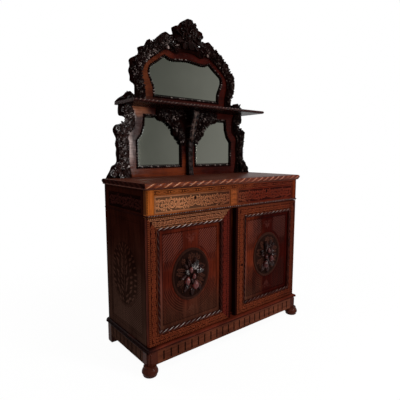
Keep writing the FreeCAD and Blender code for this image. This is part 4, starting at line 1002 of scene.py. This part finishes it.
def ovalPlacer(sign):
    def place(s, t, h, isBack):
        y = front + door["panel"] - 1.5 - h - 2.4 * np.clip((1 - ovalRing(s, t)) / 0.02, 0, 1)
        return sign * doorMiddle[0] + s, np.where(isBack, front + door["panel"] + 1.0, y), doorMiddle[1] + t
    return place


fruit = {"pear": ((0, -24), (5, -23.6), (10.5, -21), (14.6, -15.5), (16.2, -9), (15.6, -2), (13, 5), (10, 10.5),
                  (7.2, 15), (4.2, 18.2), (0, 19.4)),
         "places": ((-32, -29, 1.0, 0.16), (21, -58, 1.22, -0.10), (13, -12, 0.72, -0.05), (-8, 27, 0.72, 0.12)),
         "leaves": ((10, 24, 1.22, 74, 50, 0.30, 0.25), (-14, 10, 2.75, 58, 38, 0.30, -0.3),
                    (34, 6, 0.10, 56, 34, 0.25, 0.35), (-22, -46, 3.95, 66, 50, 0.05, 0.2),
                    (34, -62, -1.0, 58, 36, 0.05, 0.3), (-6, 40, 1.95, 72, 30, 0.08, 0.5),
                    (2, -78, -1.7, 54, 34, 0.0, 0.1), (-40, 0, 3.4, 50, 30, 0.1, 0.4),
                    (14, 44, 1.45, 60, 30, 0.1, -0.4), (40, 22, 0.3, 48, 28, 0.1, 0.5),
                    (-28, 34, 2.35, 56, 26, 0.1, -0.5), (0, -24, -1.5, 40, 30, 0.2, 0.2))}

for side, sign in (("left", -1), ("right", 1)):
    print("door", side)
    body = side + "_door"
    isLeft = side == "left"
    # the left door's closing stile takes the darker copy, as painted shade
    closing = closingWood if isLeft else frameWood
    doorMember("doorRail_%s_low" % side, body, sign, door["inner"], half, True, True, "scroll", 41, frameWood)
    # the left door's top rail takes the lighter copy with painted highlights
    doorMember("doorRail_%s_high" % side, body, sign, door["inner"], half, True, False, "scroll", 42,
               railWood if isLeft else frameWood)
    doorMember("doorStile_%s_hinge" % side, body, sign, door["base"], door["top"], False, False, "crossed", 43,
               frameWood)
    doorMember("doorStile_%s_closing" % side, body, sign, door["base"], door["top"], False, True, "crossed", 44,
               closing)
    bm = bmesh.new()
    near, far = door["inner"] + door["frame"] - 7, half - door["frame"] + 7
    low, high = door["base"] + door["frame"] - 7, door["top"] - door["frame"] + 7
    corners = [(sign * near, low), (sign * far, low), (sign * far, high), (sign * near, high)]
    for (x0, z0), (x1, z1), glint in zip(corners, corners[1:] + corners[:1], door["glints"][side]):
        addRope(bm, straight((x0, front + 2, z0), (x1, front + 2, z1), 2.6), door["rope"], door["ropePeriod"],
                (0, -1, 0), 36, 0.3, glint, 4)
    finishPiece("doorRope_" + side, bm, body, ropeWood, (), 70)
    carveSheet("doorPanel_" + side, body, panelWood, (413, 529), 2.0, panelWarp, panelRelief,
               panelPlacer(sign))
    carveSheet("doorOval_" + side, body, plaqueWood, (252, 290), 2.1, ovalWarp, ovalRelief,
               ovalPlacer(sign), ["door_%s_medallion" % side], top=3.2)
    base, hand = front + door["panel"] - 5, 1 if isLeft else -1
    # three leaves on the left door take the lighter copy with painted highlights
    for name, leaves, finish in (("fruitLeavesLit_", fruit["leaves"][:3], litLeafWood if isLeft else leafWood),
                                 ("fruitLeaves_", fruit["leaves"][3:], leafWood)):
        bm = bmesh.new()
        for x, z, angle, length, width, lean, roll in leaves:
            turned = angle if isLeft else math.pi - angle
            plant(bm, bigLeaf, facing(sign * doorMiddle[0] + hand * x, doorMiddle[1] + z, turned, length * 0.82,
                                      width * 0.82, 24, base - 1, lean, hand * roll))
        finishPiece(name + side, bm, body, finish)
    bm = bmesh.new()
    for x, z, size, lean in fruit["places"]:
        spot = (sign * doorMiddle[0] + hand * x, base - 9, doorMiddle[1] + z)
        addTurning(bm, [(radius * size, level * size) for radius, level in fruit["pear"]], spot, 18,
                   (hand * lean, -0.2, 1))
        plantBall(bm, spot[0], spot[1] - 5 * size, spot[2] - 23 * size, 3.4 * size)
    # the right door's fruit takes the darker copy, as painted shade
    finishPiece("fruit_" + side, bm, body, fruitWood if isLeft else dimFruitWood, (), 80)

bm = bmesh.new()
addKeyhole(bm, door["keyX"], door["keyZ"], front - 0.8, 1.3)
finishPiece("doorKeyhole", bm, "right_door", holeDark)

print("sides")
flank = {"panel": 582, "front": -162, "base": 175, "friezeBase": 838, "width": 366, "height": 619, "ovalS": 200,
         "ovalT": 303, "radiusS": 144, "radiusT": 180, "rise": 31, "pitch": 13}


def flankRelief(s, t):        # an oval packed with small leaves, and chevron hatching round its lower half
    made = Relief(s, t, 51)
    middle, level = flank["ovalS"], flank["ovalT"]
    ds, dt = s - middle, t - level
    ring = np.sqrt((ds / flank["radiusS"]) ** 2 + (dt / flank["radiusT"]) ** 2)
    edge = np.minimum(np.minimum(s, flank["width"] - s), np.minimum(t, flank["height"] - t))
    hatch = 0.5 + 0.5 * np.cos(2 * math.pi * (0.9 * np.abs(ds) + np.abs(dt)) / flank["pitch"])
    field = np.clip((ring - 1.05) / 0.02, 0, 1) * np.clip((edge - 16) / 3, 0, 1) * np.clip((90 - dt) / 60, 0, 1)
    shake = np.random.default_rng(53)
    for row in range(-5, 6):
        reach = flank["radiusS"] * math.sqrt(1 - (row * flank["rise"] / flank["radiusT"]) ** 2)
        for sign in (-1, 1):
            for share in (0.10, 0.42, 0.74):
                lean = sign * (0.5 + 0.9 * share) + shake.uniform(-0.35, 0.35)
                made.leaf((middle + sign * share * reach, level + row * flank["rise"] - 12), math.pi / 2 - lean,
                          shake.uniform(38, 54), shake.uniform(10, 17), 2.6, 3)
    made.leaf((middle, level - 150), math.pi / 2, 300, 10, 2.4, 9)
    carving = np.where(ring < 0.97, made.h, 0)
    h = carving * 0.9 - 0.6 * field * hatch + 0.8 * np.exp(-((ring - 1.02) / 0.018) ** 2)
    oval = np.clip((0.99 - ring) / 0.02, 0, 1)
    # painted shade in the hatching, the oval's low parts and the groove round the edge; painted highlights on the
    # leaves and hatch ridges
    hollow = np.clip(field * hatch * 0.95 + oval * np.clip(1 - carving / 1.2, 0, 1) * 0.7, 0, 1)
    hollow = np.maximum(hollow, np.exp(-((edge - 14) / 1.4) ** 2) * 0.8)
    return h, {"hollow": hollow, "worn": np.clip(carving / 2.4 - 0.5, 0, 0.4) + 0.5 * field * np.clip(1 - 1.6 * hatch, 0, 1)}


def flankFrieze(s, t):
    made = Relief(s, t, 52)
    made.foliage(6, 360, 42, 34, 2.6)
    return made.h + made.punch, None


def flankPlacer(sign, base):
    return lambda s, t, h, isBack: (sign * np.where(isBack, flank["panel"] - 1.0, flank["panel"] + 0.5 + h),
                                    flank["front"] + s, base + t)


for side, sign in (("left", -1), ("right", 1)):
    carveSheet("flankPanel_" + side, "cabinet", sideWood, (flank["width"], flank["height"]), 2.0,
               plainWarp(flank["width"], flank["height"]), flankRelief, flankPlacer(sign, flank["base"]))
    carveSheet("flankFrieze_" + side, "cabinet", darkSide, (flank["width"], 84), 2.0,
               plainWarp(flank["width"], 84), flankFrieze, flankPlacer(sign, flank["friezeBase"]))

print("top board")
top = {"section": ((1.5, 954.5), (2.5, 958), (5, 961.5), (8.5, 964), (11.5, 967), (13.6, 971), (14.2, 976),
                   (13.6, 981), (11.6, 984.5), (9, 987)),
       "period": 52, "lay": 1.6, "rise": 2.8}
topSection = smoothPath(top["section"], 1.0)
topLead = np.gradient(topSection, axis=0)
topLead /= np.linalg.norm(topLead, axis=1)[:, None]


def mouldingRelief(s, t):
    twist = np.abs(np.cos(math.pi * (s / top["period"] - t * top["lay"]))) ** 0.8
    share = np.clip((t - 0.26) / 0.1, 0, 1) * np.clip((0.97 - t) / 0.05, 0, 1)
    beads = np.sqrt(np.clip(1 - (((s % 11) - 5.5) / 4.4) ** 2 - ((t - 0.14) / 0.09) ** 2, 0, 1))
    h = np.maximum(top["rise"] * twist * share, 1.6 * beads)
    # painted glints along the twist, stronger on some strands; painted shade in the low parts
    glintWear = np.random.default_rng(9).uniform(0.15, 1.0, 99)[np.rint(s / top["period"] - t * top["lay"]).astype(int) % 99]
    return h, {"hollow": np.clip(1.1 - h / 1.8, 0, 1) * 0.9, "worn": np.clip(twist * share - 0.96, 0, 0.04) * 18 * glintWear}


def sectionAt(t, h, isBack):
    steps = np.linspace(0, 1, len(topSection))
    out, level = np.interp(t, steps, topSection[:, 0]), np.interp(t, steps, topSection[:, 1])
    outward, rise = np.interp(t, steps, topLead[:, 1]), -np.interp(t, steps, topLead[:, 0])
    return np.where(isBack, -14, out + h * outward), level + np.where(isBack, 0, h * rise)


def topFront(s, t, h, isBack):
    out, level = sectionAt(t, h, isBack)
    return s / 600 * (half + out), front - out, level


def topSidePlacer(sign):
    def place(s, t, h, isBack):
        out, level = sectionAt(t, h, isBack)
        return sign * (half + out), front - out + (s / 476) * (back - front + out), level
    return place


carveSheet("topMoulding_front", "cabinet", mouldingWood, (1200, 40), 2.2,
           lambda u, v: ((u - 0.5) * 1200, v), mouldingRelief, topFront, ["top_moulding"])
for side, sign in (("left", -1), ("right", 1)):
    carveSheet("topMoulding_" + side, "cabinet", darkSide, (476, 40), 2.2,
               lambda u, v: (u * 476, v), mouldingRelief, topSidePlacer(sign))

bm = bmesh.new()
bmesh.ops.create_cube(bm, size=1)
bmesh.ops.scale(bm, verts=bm.verts, vec=(2 * half + 22, back - front + 11, 30))
bmesh.ops.translate(bm, verts=bm.verts, vec=(0, (back + front - 11) / 2, tableLevel - 15))
rims = [edge for edge in bm.edges if all(vert.co.z > tableLevel - 1 for vert in edge.verts)]
bmesh.ops.bevel(bm, geom=rims, offset=3.0, offset_type="OFFSET", segments=3, profile=0.5, affect="EDGES", material=-1)
finishPiece("topBoard", bm, "cabinet", topWood, ["table_top"])

print("mirrors")
glass = {"front": 230, "back": 243, "bevel": 12, "drop": 1.6, "cord": 5.2, "period": 16.5, "pearl": 8.2,
         "lower": ((61, 0.145), (383, 0.145), (383, 0.53), (352, 0.62), (335.8, 0.74), (331.2, 0.885), (61, 0.885)),
         "upper": ((0.615, 0.122), (0.62, 0.24), (0.665, 0.34), (0.695, 0.42), (0.68, 0.50), (0.615, 0.55),
                   (0.55, 0.59), (0.49, 0.63), (0.42, 0.675), (0.36, 0.65), (0.27, 0.64), (0.14, 0.65))}
arch = [(x * 420, displayLevel + z * 450) for x, z in glass["upper"]]
arch = smoothPath(arch + [(0, displayLevel + 0.66 * 450)] + [(-x, z) for x, z in reversed(arch)], 7)


def grown(outline, grow):        # pushed outwards from its middle
    away = np.array(outline) - np.mean(outline, axis=0)
    return np.array(outline) + away * (grow / np.linalg.norm(away, axis=1))[:, None]


def glassPlate(name, outline, nodes, gleam):        # gleam: how bright the painted reflection on the bevel is, on the left and below
    bm = bmesh.new()
    face = bm.faces.new([bm.verts.new((x, glass["back"], z)) for x, z in grown(outline, -0.6)])
    raised = bmesh.ops.extrude_face_region(bm, geom=[face])["geom"]
    rise = [part for part in raised if isinstance(part, bmesh.types.BMVert)]
    bmesh.ops.translate(bm, verts=rise, vec=(0, glass["front"] + glass["drop"] - glass["back"], 0))
    faces = [part for part in raised if isinstance(part, bmesh.types.BMFace)]
    bmesh.ops.inset_region(bm, faces=faces, thickness=glass["bevel"], use_even_offset=True)
    inner = {vert for made in faces for vert in made.verts}
    bmesh.ops.translate(bm, verts=list(inner), vec=(0, -glass["drop"], 0))
    low, left = min(vert.co.z for vert in bm.verts), min(vert.co.x for vert in bm.verts)
    lit = [gleam * (vert.co.z < low + 3 or vert.co.x < left + 40) * (vert not in inner) for vert in bm.verts]
    finishPiece(name, bm, "cabinet", mirrorGlass, nodes, 3, {"worn": np.array(lit)})


def addPearls(bm, line):        # a thin cord with pearls along it
    line = np.array([(x, boardFront, z) for x, z in line])
    addRope(bm, line, glass["cord"], glass["period"], (0, -1, 0), 8, 0.2)
    runs = runsOf(line)
    count = round(runs[-1] / glass["period"])
    chooser = random.Random(count)
    for run in np.linspace(0, runs[-1], count + 1):
        x, z = (np.interp(run, runs, line[:, k]) for k in (0, 2))
        # painted glints on some pearls
        plantBall(bm, x, boardFront - 1, z, glass["pearl"], max(0.0, chooser.uniform(-1.5, 0.8)))


for side, sign in (("left", -1), ("right", 1)):
    outline = [(sign * x, tableLevel + z * 420) for x, z in glass["lower"]]
    # the left mirror's bevel gets the brightest painted reflection
    glassPlate("mirrorGlass_" + side, outline, ["lower_mirror_" + side], 1.0 if sign < 0 else 0.35)
    bm = bmesh.new()
    edge = grown(outline, 3)
    for start, end in zip(edge, np.roll(edge, -1, 0)):
        addPearls(bm, straight(start, end, 4))
    finishPiece("mirrorCord_" + side, bm, "cabinet", carvedWood)
# the upper mirror's bevel gets a faint painted reflection
glassPlate("mirrorGlass_upper", arch, ["upper_mirror"], 0.25)
bm = bmesh.new()
edge = grown(arch, 3)
addPearls(bm, smoothPath(edge, 4))
addPearls(bm, straight(edge[0], edge[-1], 4))
finishPiece("mirrorCord_upper", bm, "cabinet", carvedWood)

print("shelf and console")
shelf = {"half": 512, "front": 18, "level": 1417, "cord": 8.4, "period": 26}
bm = bmesh.new()
# with painted glints on the rope
addRope(bm, straight((-shelf["half"], shelf["front"] + shelf["cord"], shelf["level"]),
                     (shelf["half"], shelf["front"] + shelf["cord"], shelf["level"]), 2.6),
        shelf["cord"], shelf["period"], (0, -1, 0), 20, 0.28, 0.6)
finishPiece("shelfRope", bm, "cabinet", darkRope, ["shelf_edge"], 70)

console = {"shares": ((0.46, 0.00), (0.40, 0.06), (0.33, 0.22), (0.34, 0.42), (0.41, 0.52), (0.54, 0.585),
                      (0.63, 0.68), (0.77, 0.79), (1.00, 0.90), (1.00, 1.00)),
           "reach": 91, "height": 420, "width": 44, "narrow": 0.8}
consoleLine = smoothPath([(out * console["reach"], z * console["height"]) for out, z in console["shares"]], 2)
consoleRuns = runsOf(consoleLine)


def consoleRelief(s, t):
    made = Relief(t, s, 61)        # s across, t up the curve
    for level in (3.4, console["width"] - 3.4):
        made.beads(level, 12, 3.6, 3.0)
    at, choose = consoleRuns[-1] - 6, made.chooser.uniform
    while at > 30:
        for turn in (-0.8, -0.3, 0.3, 0.8, 0.0):
            made.leaf((at, console["width"] / 2 + choose(-2, 2)), math.pi + turn + choose(-0.15, 0.15),
                      choose(46, 62) if turn == 0 else choose(28, 42), choose(12, 19), 5.4 if turn == 0 else choose(3, 4.4))
        at -= choose(30, 56)
    # painted highlights on the raised leaves of the upper part, painted shade in the low parts
    found = np.clip(made.h / 4 - 0.55, 0, 0.6) * np.clip((t / consoleRuns[-1] - 0.45) / 0.2, 0, 1)
    return made.h, {"worn": found, "hollow": np.clip(1 - made.h / 2.6, 0, 1)}


def consolePlace(s, t, h, isBack):
    out, level = np.interp(t, consoleRuns, consoleLine[:, 0]), np.interp(t, consoleRuns, consoleLine[:, 1])
    wide = console["narrow"] + (1 - console["narrow"]) * np.clip((t / consoleRuns[-1] - 0.35) / 0.3, 0, 1)
    y = np.where(isBack, boardFront + 1, boardFront - out - h + 2)
    return (s - console["width"] / 2) * wide, y, tableLevel + level


carveSheet("consoleFront", "cabinet", consoleWood, (console["width"], consoleRuns[-1]), 2.2,
           plainWarp(console["width"], consoleRuns[-1]), consoleRelief, consolePlace, ["centre_bracket"])


def addFoliage(bm, spine, y, seed, pitch=17.0, sign=1):        # rows of x, z and half width
    chooser = random.Random(seed)
    choose = chooser.uniform
    line = smoothPath(spine, pitch)
    lead = np.gradient(line[:, :2], axis=0)
    lead /= np.linalg.norm(lead, axis=1)[:, None]
    turn = np.arange(len(line)) * pitch * 2 * math.pi / 86
    for phase in (0.0, math.pi):        # two vines that cross
        swing = np.sin(turn + phase) * line[:, 2] * 0.5
        vine = np.stack([sign * (line[:, 0] - lead[:, 1] * swing), y - 5 - 3 * np.cos(turn + phase),
                         line[:, 1] + lead[:, 0] * swing], axis=1)
        addRope(bm, smoothPath(vine, 5), 3.8, 13, (0, -1, 0), 6, 0.12)
    for k, ((x, z, reach), way) in enumerate(zip(line, lead)):
        heading = math.atan2(way[1], way[0])
        for side in (-1, 1):
            for share, bend, size in ((0.12, choose(0.4, 1.1), choose(0.58, 0.8)),
                                      (0.5, choose(0.2, 1.5), choose(0.36, 0.5)),
                                      (0.62, choose(1.2, 2.3), choose(0.34, 0.46))):
                angle = heading + side * bend
                spot = (x - side * way[1] * share * reach, z + side * way[0] * share * reach)
                length = size * reach + 5
                if sign < 0:
                    angle = math.pi - angle
                # painted glints on some leaves
                plant(bm, lobe if share > 0.3 else oakLeaf,
                      facing(sign * spot[0], spot[1], angle, length, length * 0.62, length * 0.5, y - choose(1, 6),
                             choose(0.0, 0.4), choose(-0.5, 0.5)), max(0.0, choose(-3.2, 1.0)))
        if k % 3 == 0:
            addFlower(bm, sign * x, z, y - 8, reach * 0.34 + 3, 6, chooser)
        else:
            side = 1 if k % 2 else -1
            addBerries(bm, sign * (x - side * way[1] * 0.3 * reach), z + side * way[0] * 0.3 * reach, y - 6, 4.6,
                       5, chooser)


spines = {
    "lower": ((496, 1004, 56), (488, 1045, 46), (474, 1094, 31), (474, 1144, 30), (476, 1195, 31),
              (480, 1244, 35), (458, 1286, 38), (428, 1322, 26), (438, 1362, 34), (450, 1398, 30)),
    "upper": ((350, 1440, 25), (351, 1478, 25), (353, 1518, 27), (370, 1563, 32), (376, 1613, 34), (366, 1660, 34),
              (331, 1700, 32), (299, 1736, 34), (254, 1764, 38), (214, 1792, 40), (170, 1814, 42), (130, 1808, 38),
              (92, 1788, 26)),
    "armHigh": ((36, 1380, 24), (90, 1374, 28), (140, 1372, 30), (190, 1372, 28), (226, 1376, 20)),
    "armLow": ((196, 1353, 20), (150, 1343, 27), (104, 1298, 30), (72, 1248, 28), (44, 1204, 22))}

print("carvings")
for side, sign in (("left", -1), ("right", 1)):
    bm = bmesh.new()
    addFoliage(bm, spines["lower"], 221, 71, 18, sign)
    addVolute(bm, sign * 543, 1014, 218, 23, 6, -sign, 1.6, math.pi / 2)
    addVolute(bm, sign * 508, 1278, 218, 17, 5, sign, 1.5, 0)
    addVolute(bm, sign * 470, 1380, 218, 18, 5, -sign, 1.5, 0)
    # the left scroll takes the copy with brighter painted glints, the right side the darker copy as painted shade
    finishPiece("lowerFoliage_" + side, bm, "cabinet", scrollWood if sign < 0 else dimCarvedWood, (), 50)
    bm = bmesh.new()
    addFoliage(bm, spines["upper"], 221, 72, 18, sign)
    # the right side takes the darker copy, as painted shade
    finishPiece("upperFoliage_" + side, bm, "cabinet", carvedWood if sign < 0 else dimCarvedWood, (), 50)
    bm = bmesh.new()
    addFoliage(bm, spines["armHigh"], 213, 73, 17, sign)
    addFoliage(bm, spines["armLow"], 213, 74, 17, sign)
    finishPiece("armFoliage_" + side, bm, "cabinet", carvedWood, (), 50)
    bm = bmesh.new()
    addVolute(bm, sign * 440, 1450, 202, 21, 5.5, sign, 1.4, math.pi / 2)
    chooser = random.Random(75)
    for x, z, turn, size in ((410, 1440, 1.9, 34), (448, 1466, 1.2, 24), (476, 1440, 0.1, 34), (455, 1434, 0.4, 40)):
        angle = turn if sign > 0 else math.pi - turn
        plant(bm, oakLeaf, facing(sign * x, z, angle, size, size * 0.55, size * 0.4, 202, 0.15, 0.3))
    addBerries(bm, sign * 430, 1434, 201, 4.5, 5, chooser)
    finishPiece("shelfScrollCarving_" + side, bm, "cabinet", carvedWood, (), 50)

crest = {"z": 1902, "rows": ((11, 60, 0.62, 206, 0.02), (9, 46, 0.66, 199, 0.12), (7, 32, 0.7, 195, 0.3)),
         "low": ((-56, 1842, 3.5, 54), (56, 1842, -0.36, 54), (-28, 1832, 4.1, 56), (28, 1832, -0.96, 56),
                 (0, 1846, -1.57, 62), (-70, 1872, 2.7, 40), (70, 1872, 0.44, 40), (-14, 1826, -1.9, 40),
                 (14, 1826, -1.24, 40))}
chooser = random.Random(81)
bm = bmesh.new()
for count, length, wide, y, lean in crest["rows"]:
    for k in range(count):
        angle = 2 * math.pi * (k + 0.5 * (count % 2)) / count + chooser.uniform(-0.12, 0.12)
        reach = length * chooser.uniform(0.9, 1.0)
        plant(bm, lobe if length > 40 else petal,
              facing(14 * math.cos(angle), crest["z"] + 14 * math.sin(angle), angle, reach, reach * wide,
                     reach * 0.42, y, lean, chooser.uniform(-0.35, 0.35)))
addBerries(bm, 0, crest["z"], 188, 4.6, 9, chooser)
for x, z, turn, size in crest["low"]:
    plant(bm, lobe, facing(x, z, turn, size, size * 0.7, size * 0.5, 205, 0.15, chooser.uniform(-0.5, 0.5)))
    addBerries(bm, x, z, 203, 4, 4, chooser)
finishPiece("crestCarving", bm, "cabinet", carvedWood, (), 50)

print("stage")
scene = bpy.context.scene
scene.view_settings.view_transform = "Standard"
stageSet = {"floor": (0.86, 0.86, 0.86), "shown": 0.955, "fade": (0.9, 2.2), "world": 0.45}


def seenDirectly(recipe):        # 1 for rays that come from the camera or a gloss
    path = recipe.add("LightPath")
    return path.wire("Is Camera Ray").most(path.wire("Is Glossy Ray")).most(path.wire("Is Transmission Ray"))


bm = bmesh.new()
bmesh.ops.create_grid(bm, x_segments=1, y_segments=1, size=40)
mesh = bpy.data.meshes.new("studioFloor")
bm.to_mesh(mesh)
bm.free()
floor = bpy.data.objects.new("studioFloor", mesh)
scene.collection.objects.link(floor)
recipe = Recipe(bpy.data.materials.new("studioFloor"))
plainFloor = recipe.add("BsdfDiffuse", None, {"Color": tint(stageSet["floor"])}).wire(0)
paleFloor = recipe.add("Emission", None, {"Color": (1, 1, 1, 1), "Strength": 1.0}).wire(0)
x, y, z = recipe.axes()
far = x.size().most(y.size()).ramp(*stageSet["fade"])
shown = seenDirectly(recipe) * (far * (1 - stageSet["shown"]) + stageSet["shown"])
mixed = recipe.add("MixShader", None, {0: shown, 1: plainFloor, 2: paleFloor}).wire(0)
recipe.add("OutputMaterial", None, {0: mixed})
mesh.materials.append(recipe.owner)

scene.world = bpy.data.worlds.new("studio")
sky = Recipe(scene.world)
strength = seenDirectly(sky) * (1 - stageSet["world"]) + stageSet["world"]
skyShader = sky.add("Background", None, {"Color": (1, 1, 1, 1), "Strength": strength}).wire(0)
sky.add("OutputWorld", None, {0: skyShader})

lamps = {"spark": {"at": (-1.9, -2.6, 2.2), "to": (0.0, 0.0, 1.2), "size": (0.18, 0.18), "power": 13},
         "window": {"at": (1.25, -3.05, 1.36), "to": (0.0, 0.0, 0.92), "size": (0.32, 1.2), "power": 78},
         "above": {"at": (0.2, -1.5, 3.4), "to": (0.0, 0.0, 1.0), "size": (0.7, 0.5), "power": 45},
         "behind": {"at": (-1.6, 2.8, 2.6), "to": (0.0, 0.0, 1.0), "size": (1.8, 1.4), "power": 60}}
for lampName, lamp in lamps.items():
    light = bpy.data.lights.new(lampName, "AREA")
    light.shape = "RECTANGLE"
    light.size, light.size_y = lamp["size"]
    light.energy, light.color = lamp["power"], (1.0, 0.98, 0.96)
    lampObject = bpy.data.objects.new(lampName, light)
    lampObject.location = lamp["at"]
    aim = Vector(lamp["to"]) - Vector(lamp["at"])
    lampObject.rotation_euler = aim.to_track_quat("-Z", "Y").to_euler()
    scene.collection.objects.link(lampObject)

lens = bpy.data.cameras.new("camera")
lens.lens, lens.sensor_width = 32.62, 36
camera = bpy.data.objects.new("camera", lens)
camera.location = (-1.469, -1.727, 1.132)
camera.rotation_euler = (math.radians(90 - 7.338), 0, math.radians(-38.825))
scene.collection.objects.link(camera)
scene.camera = camera
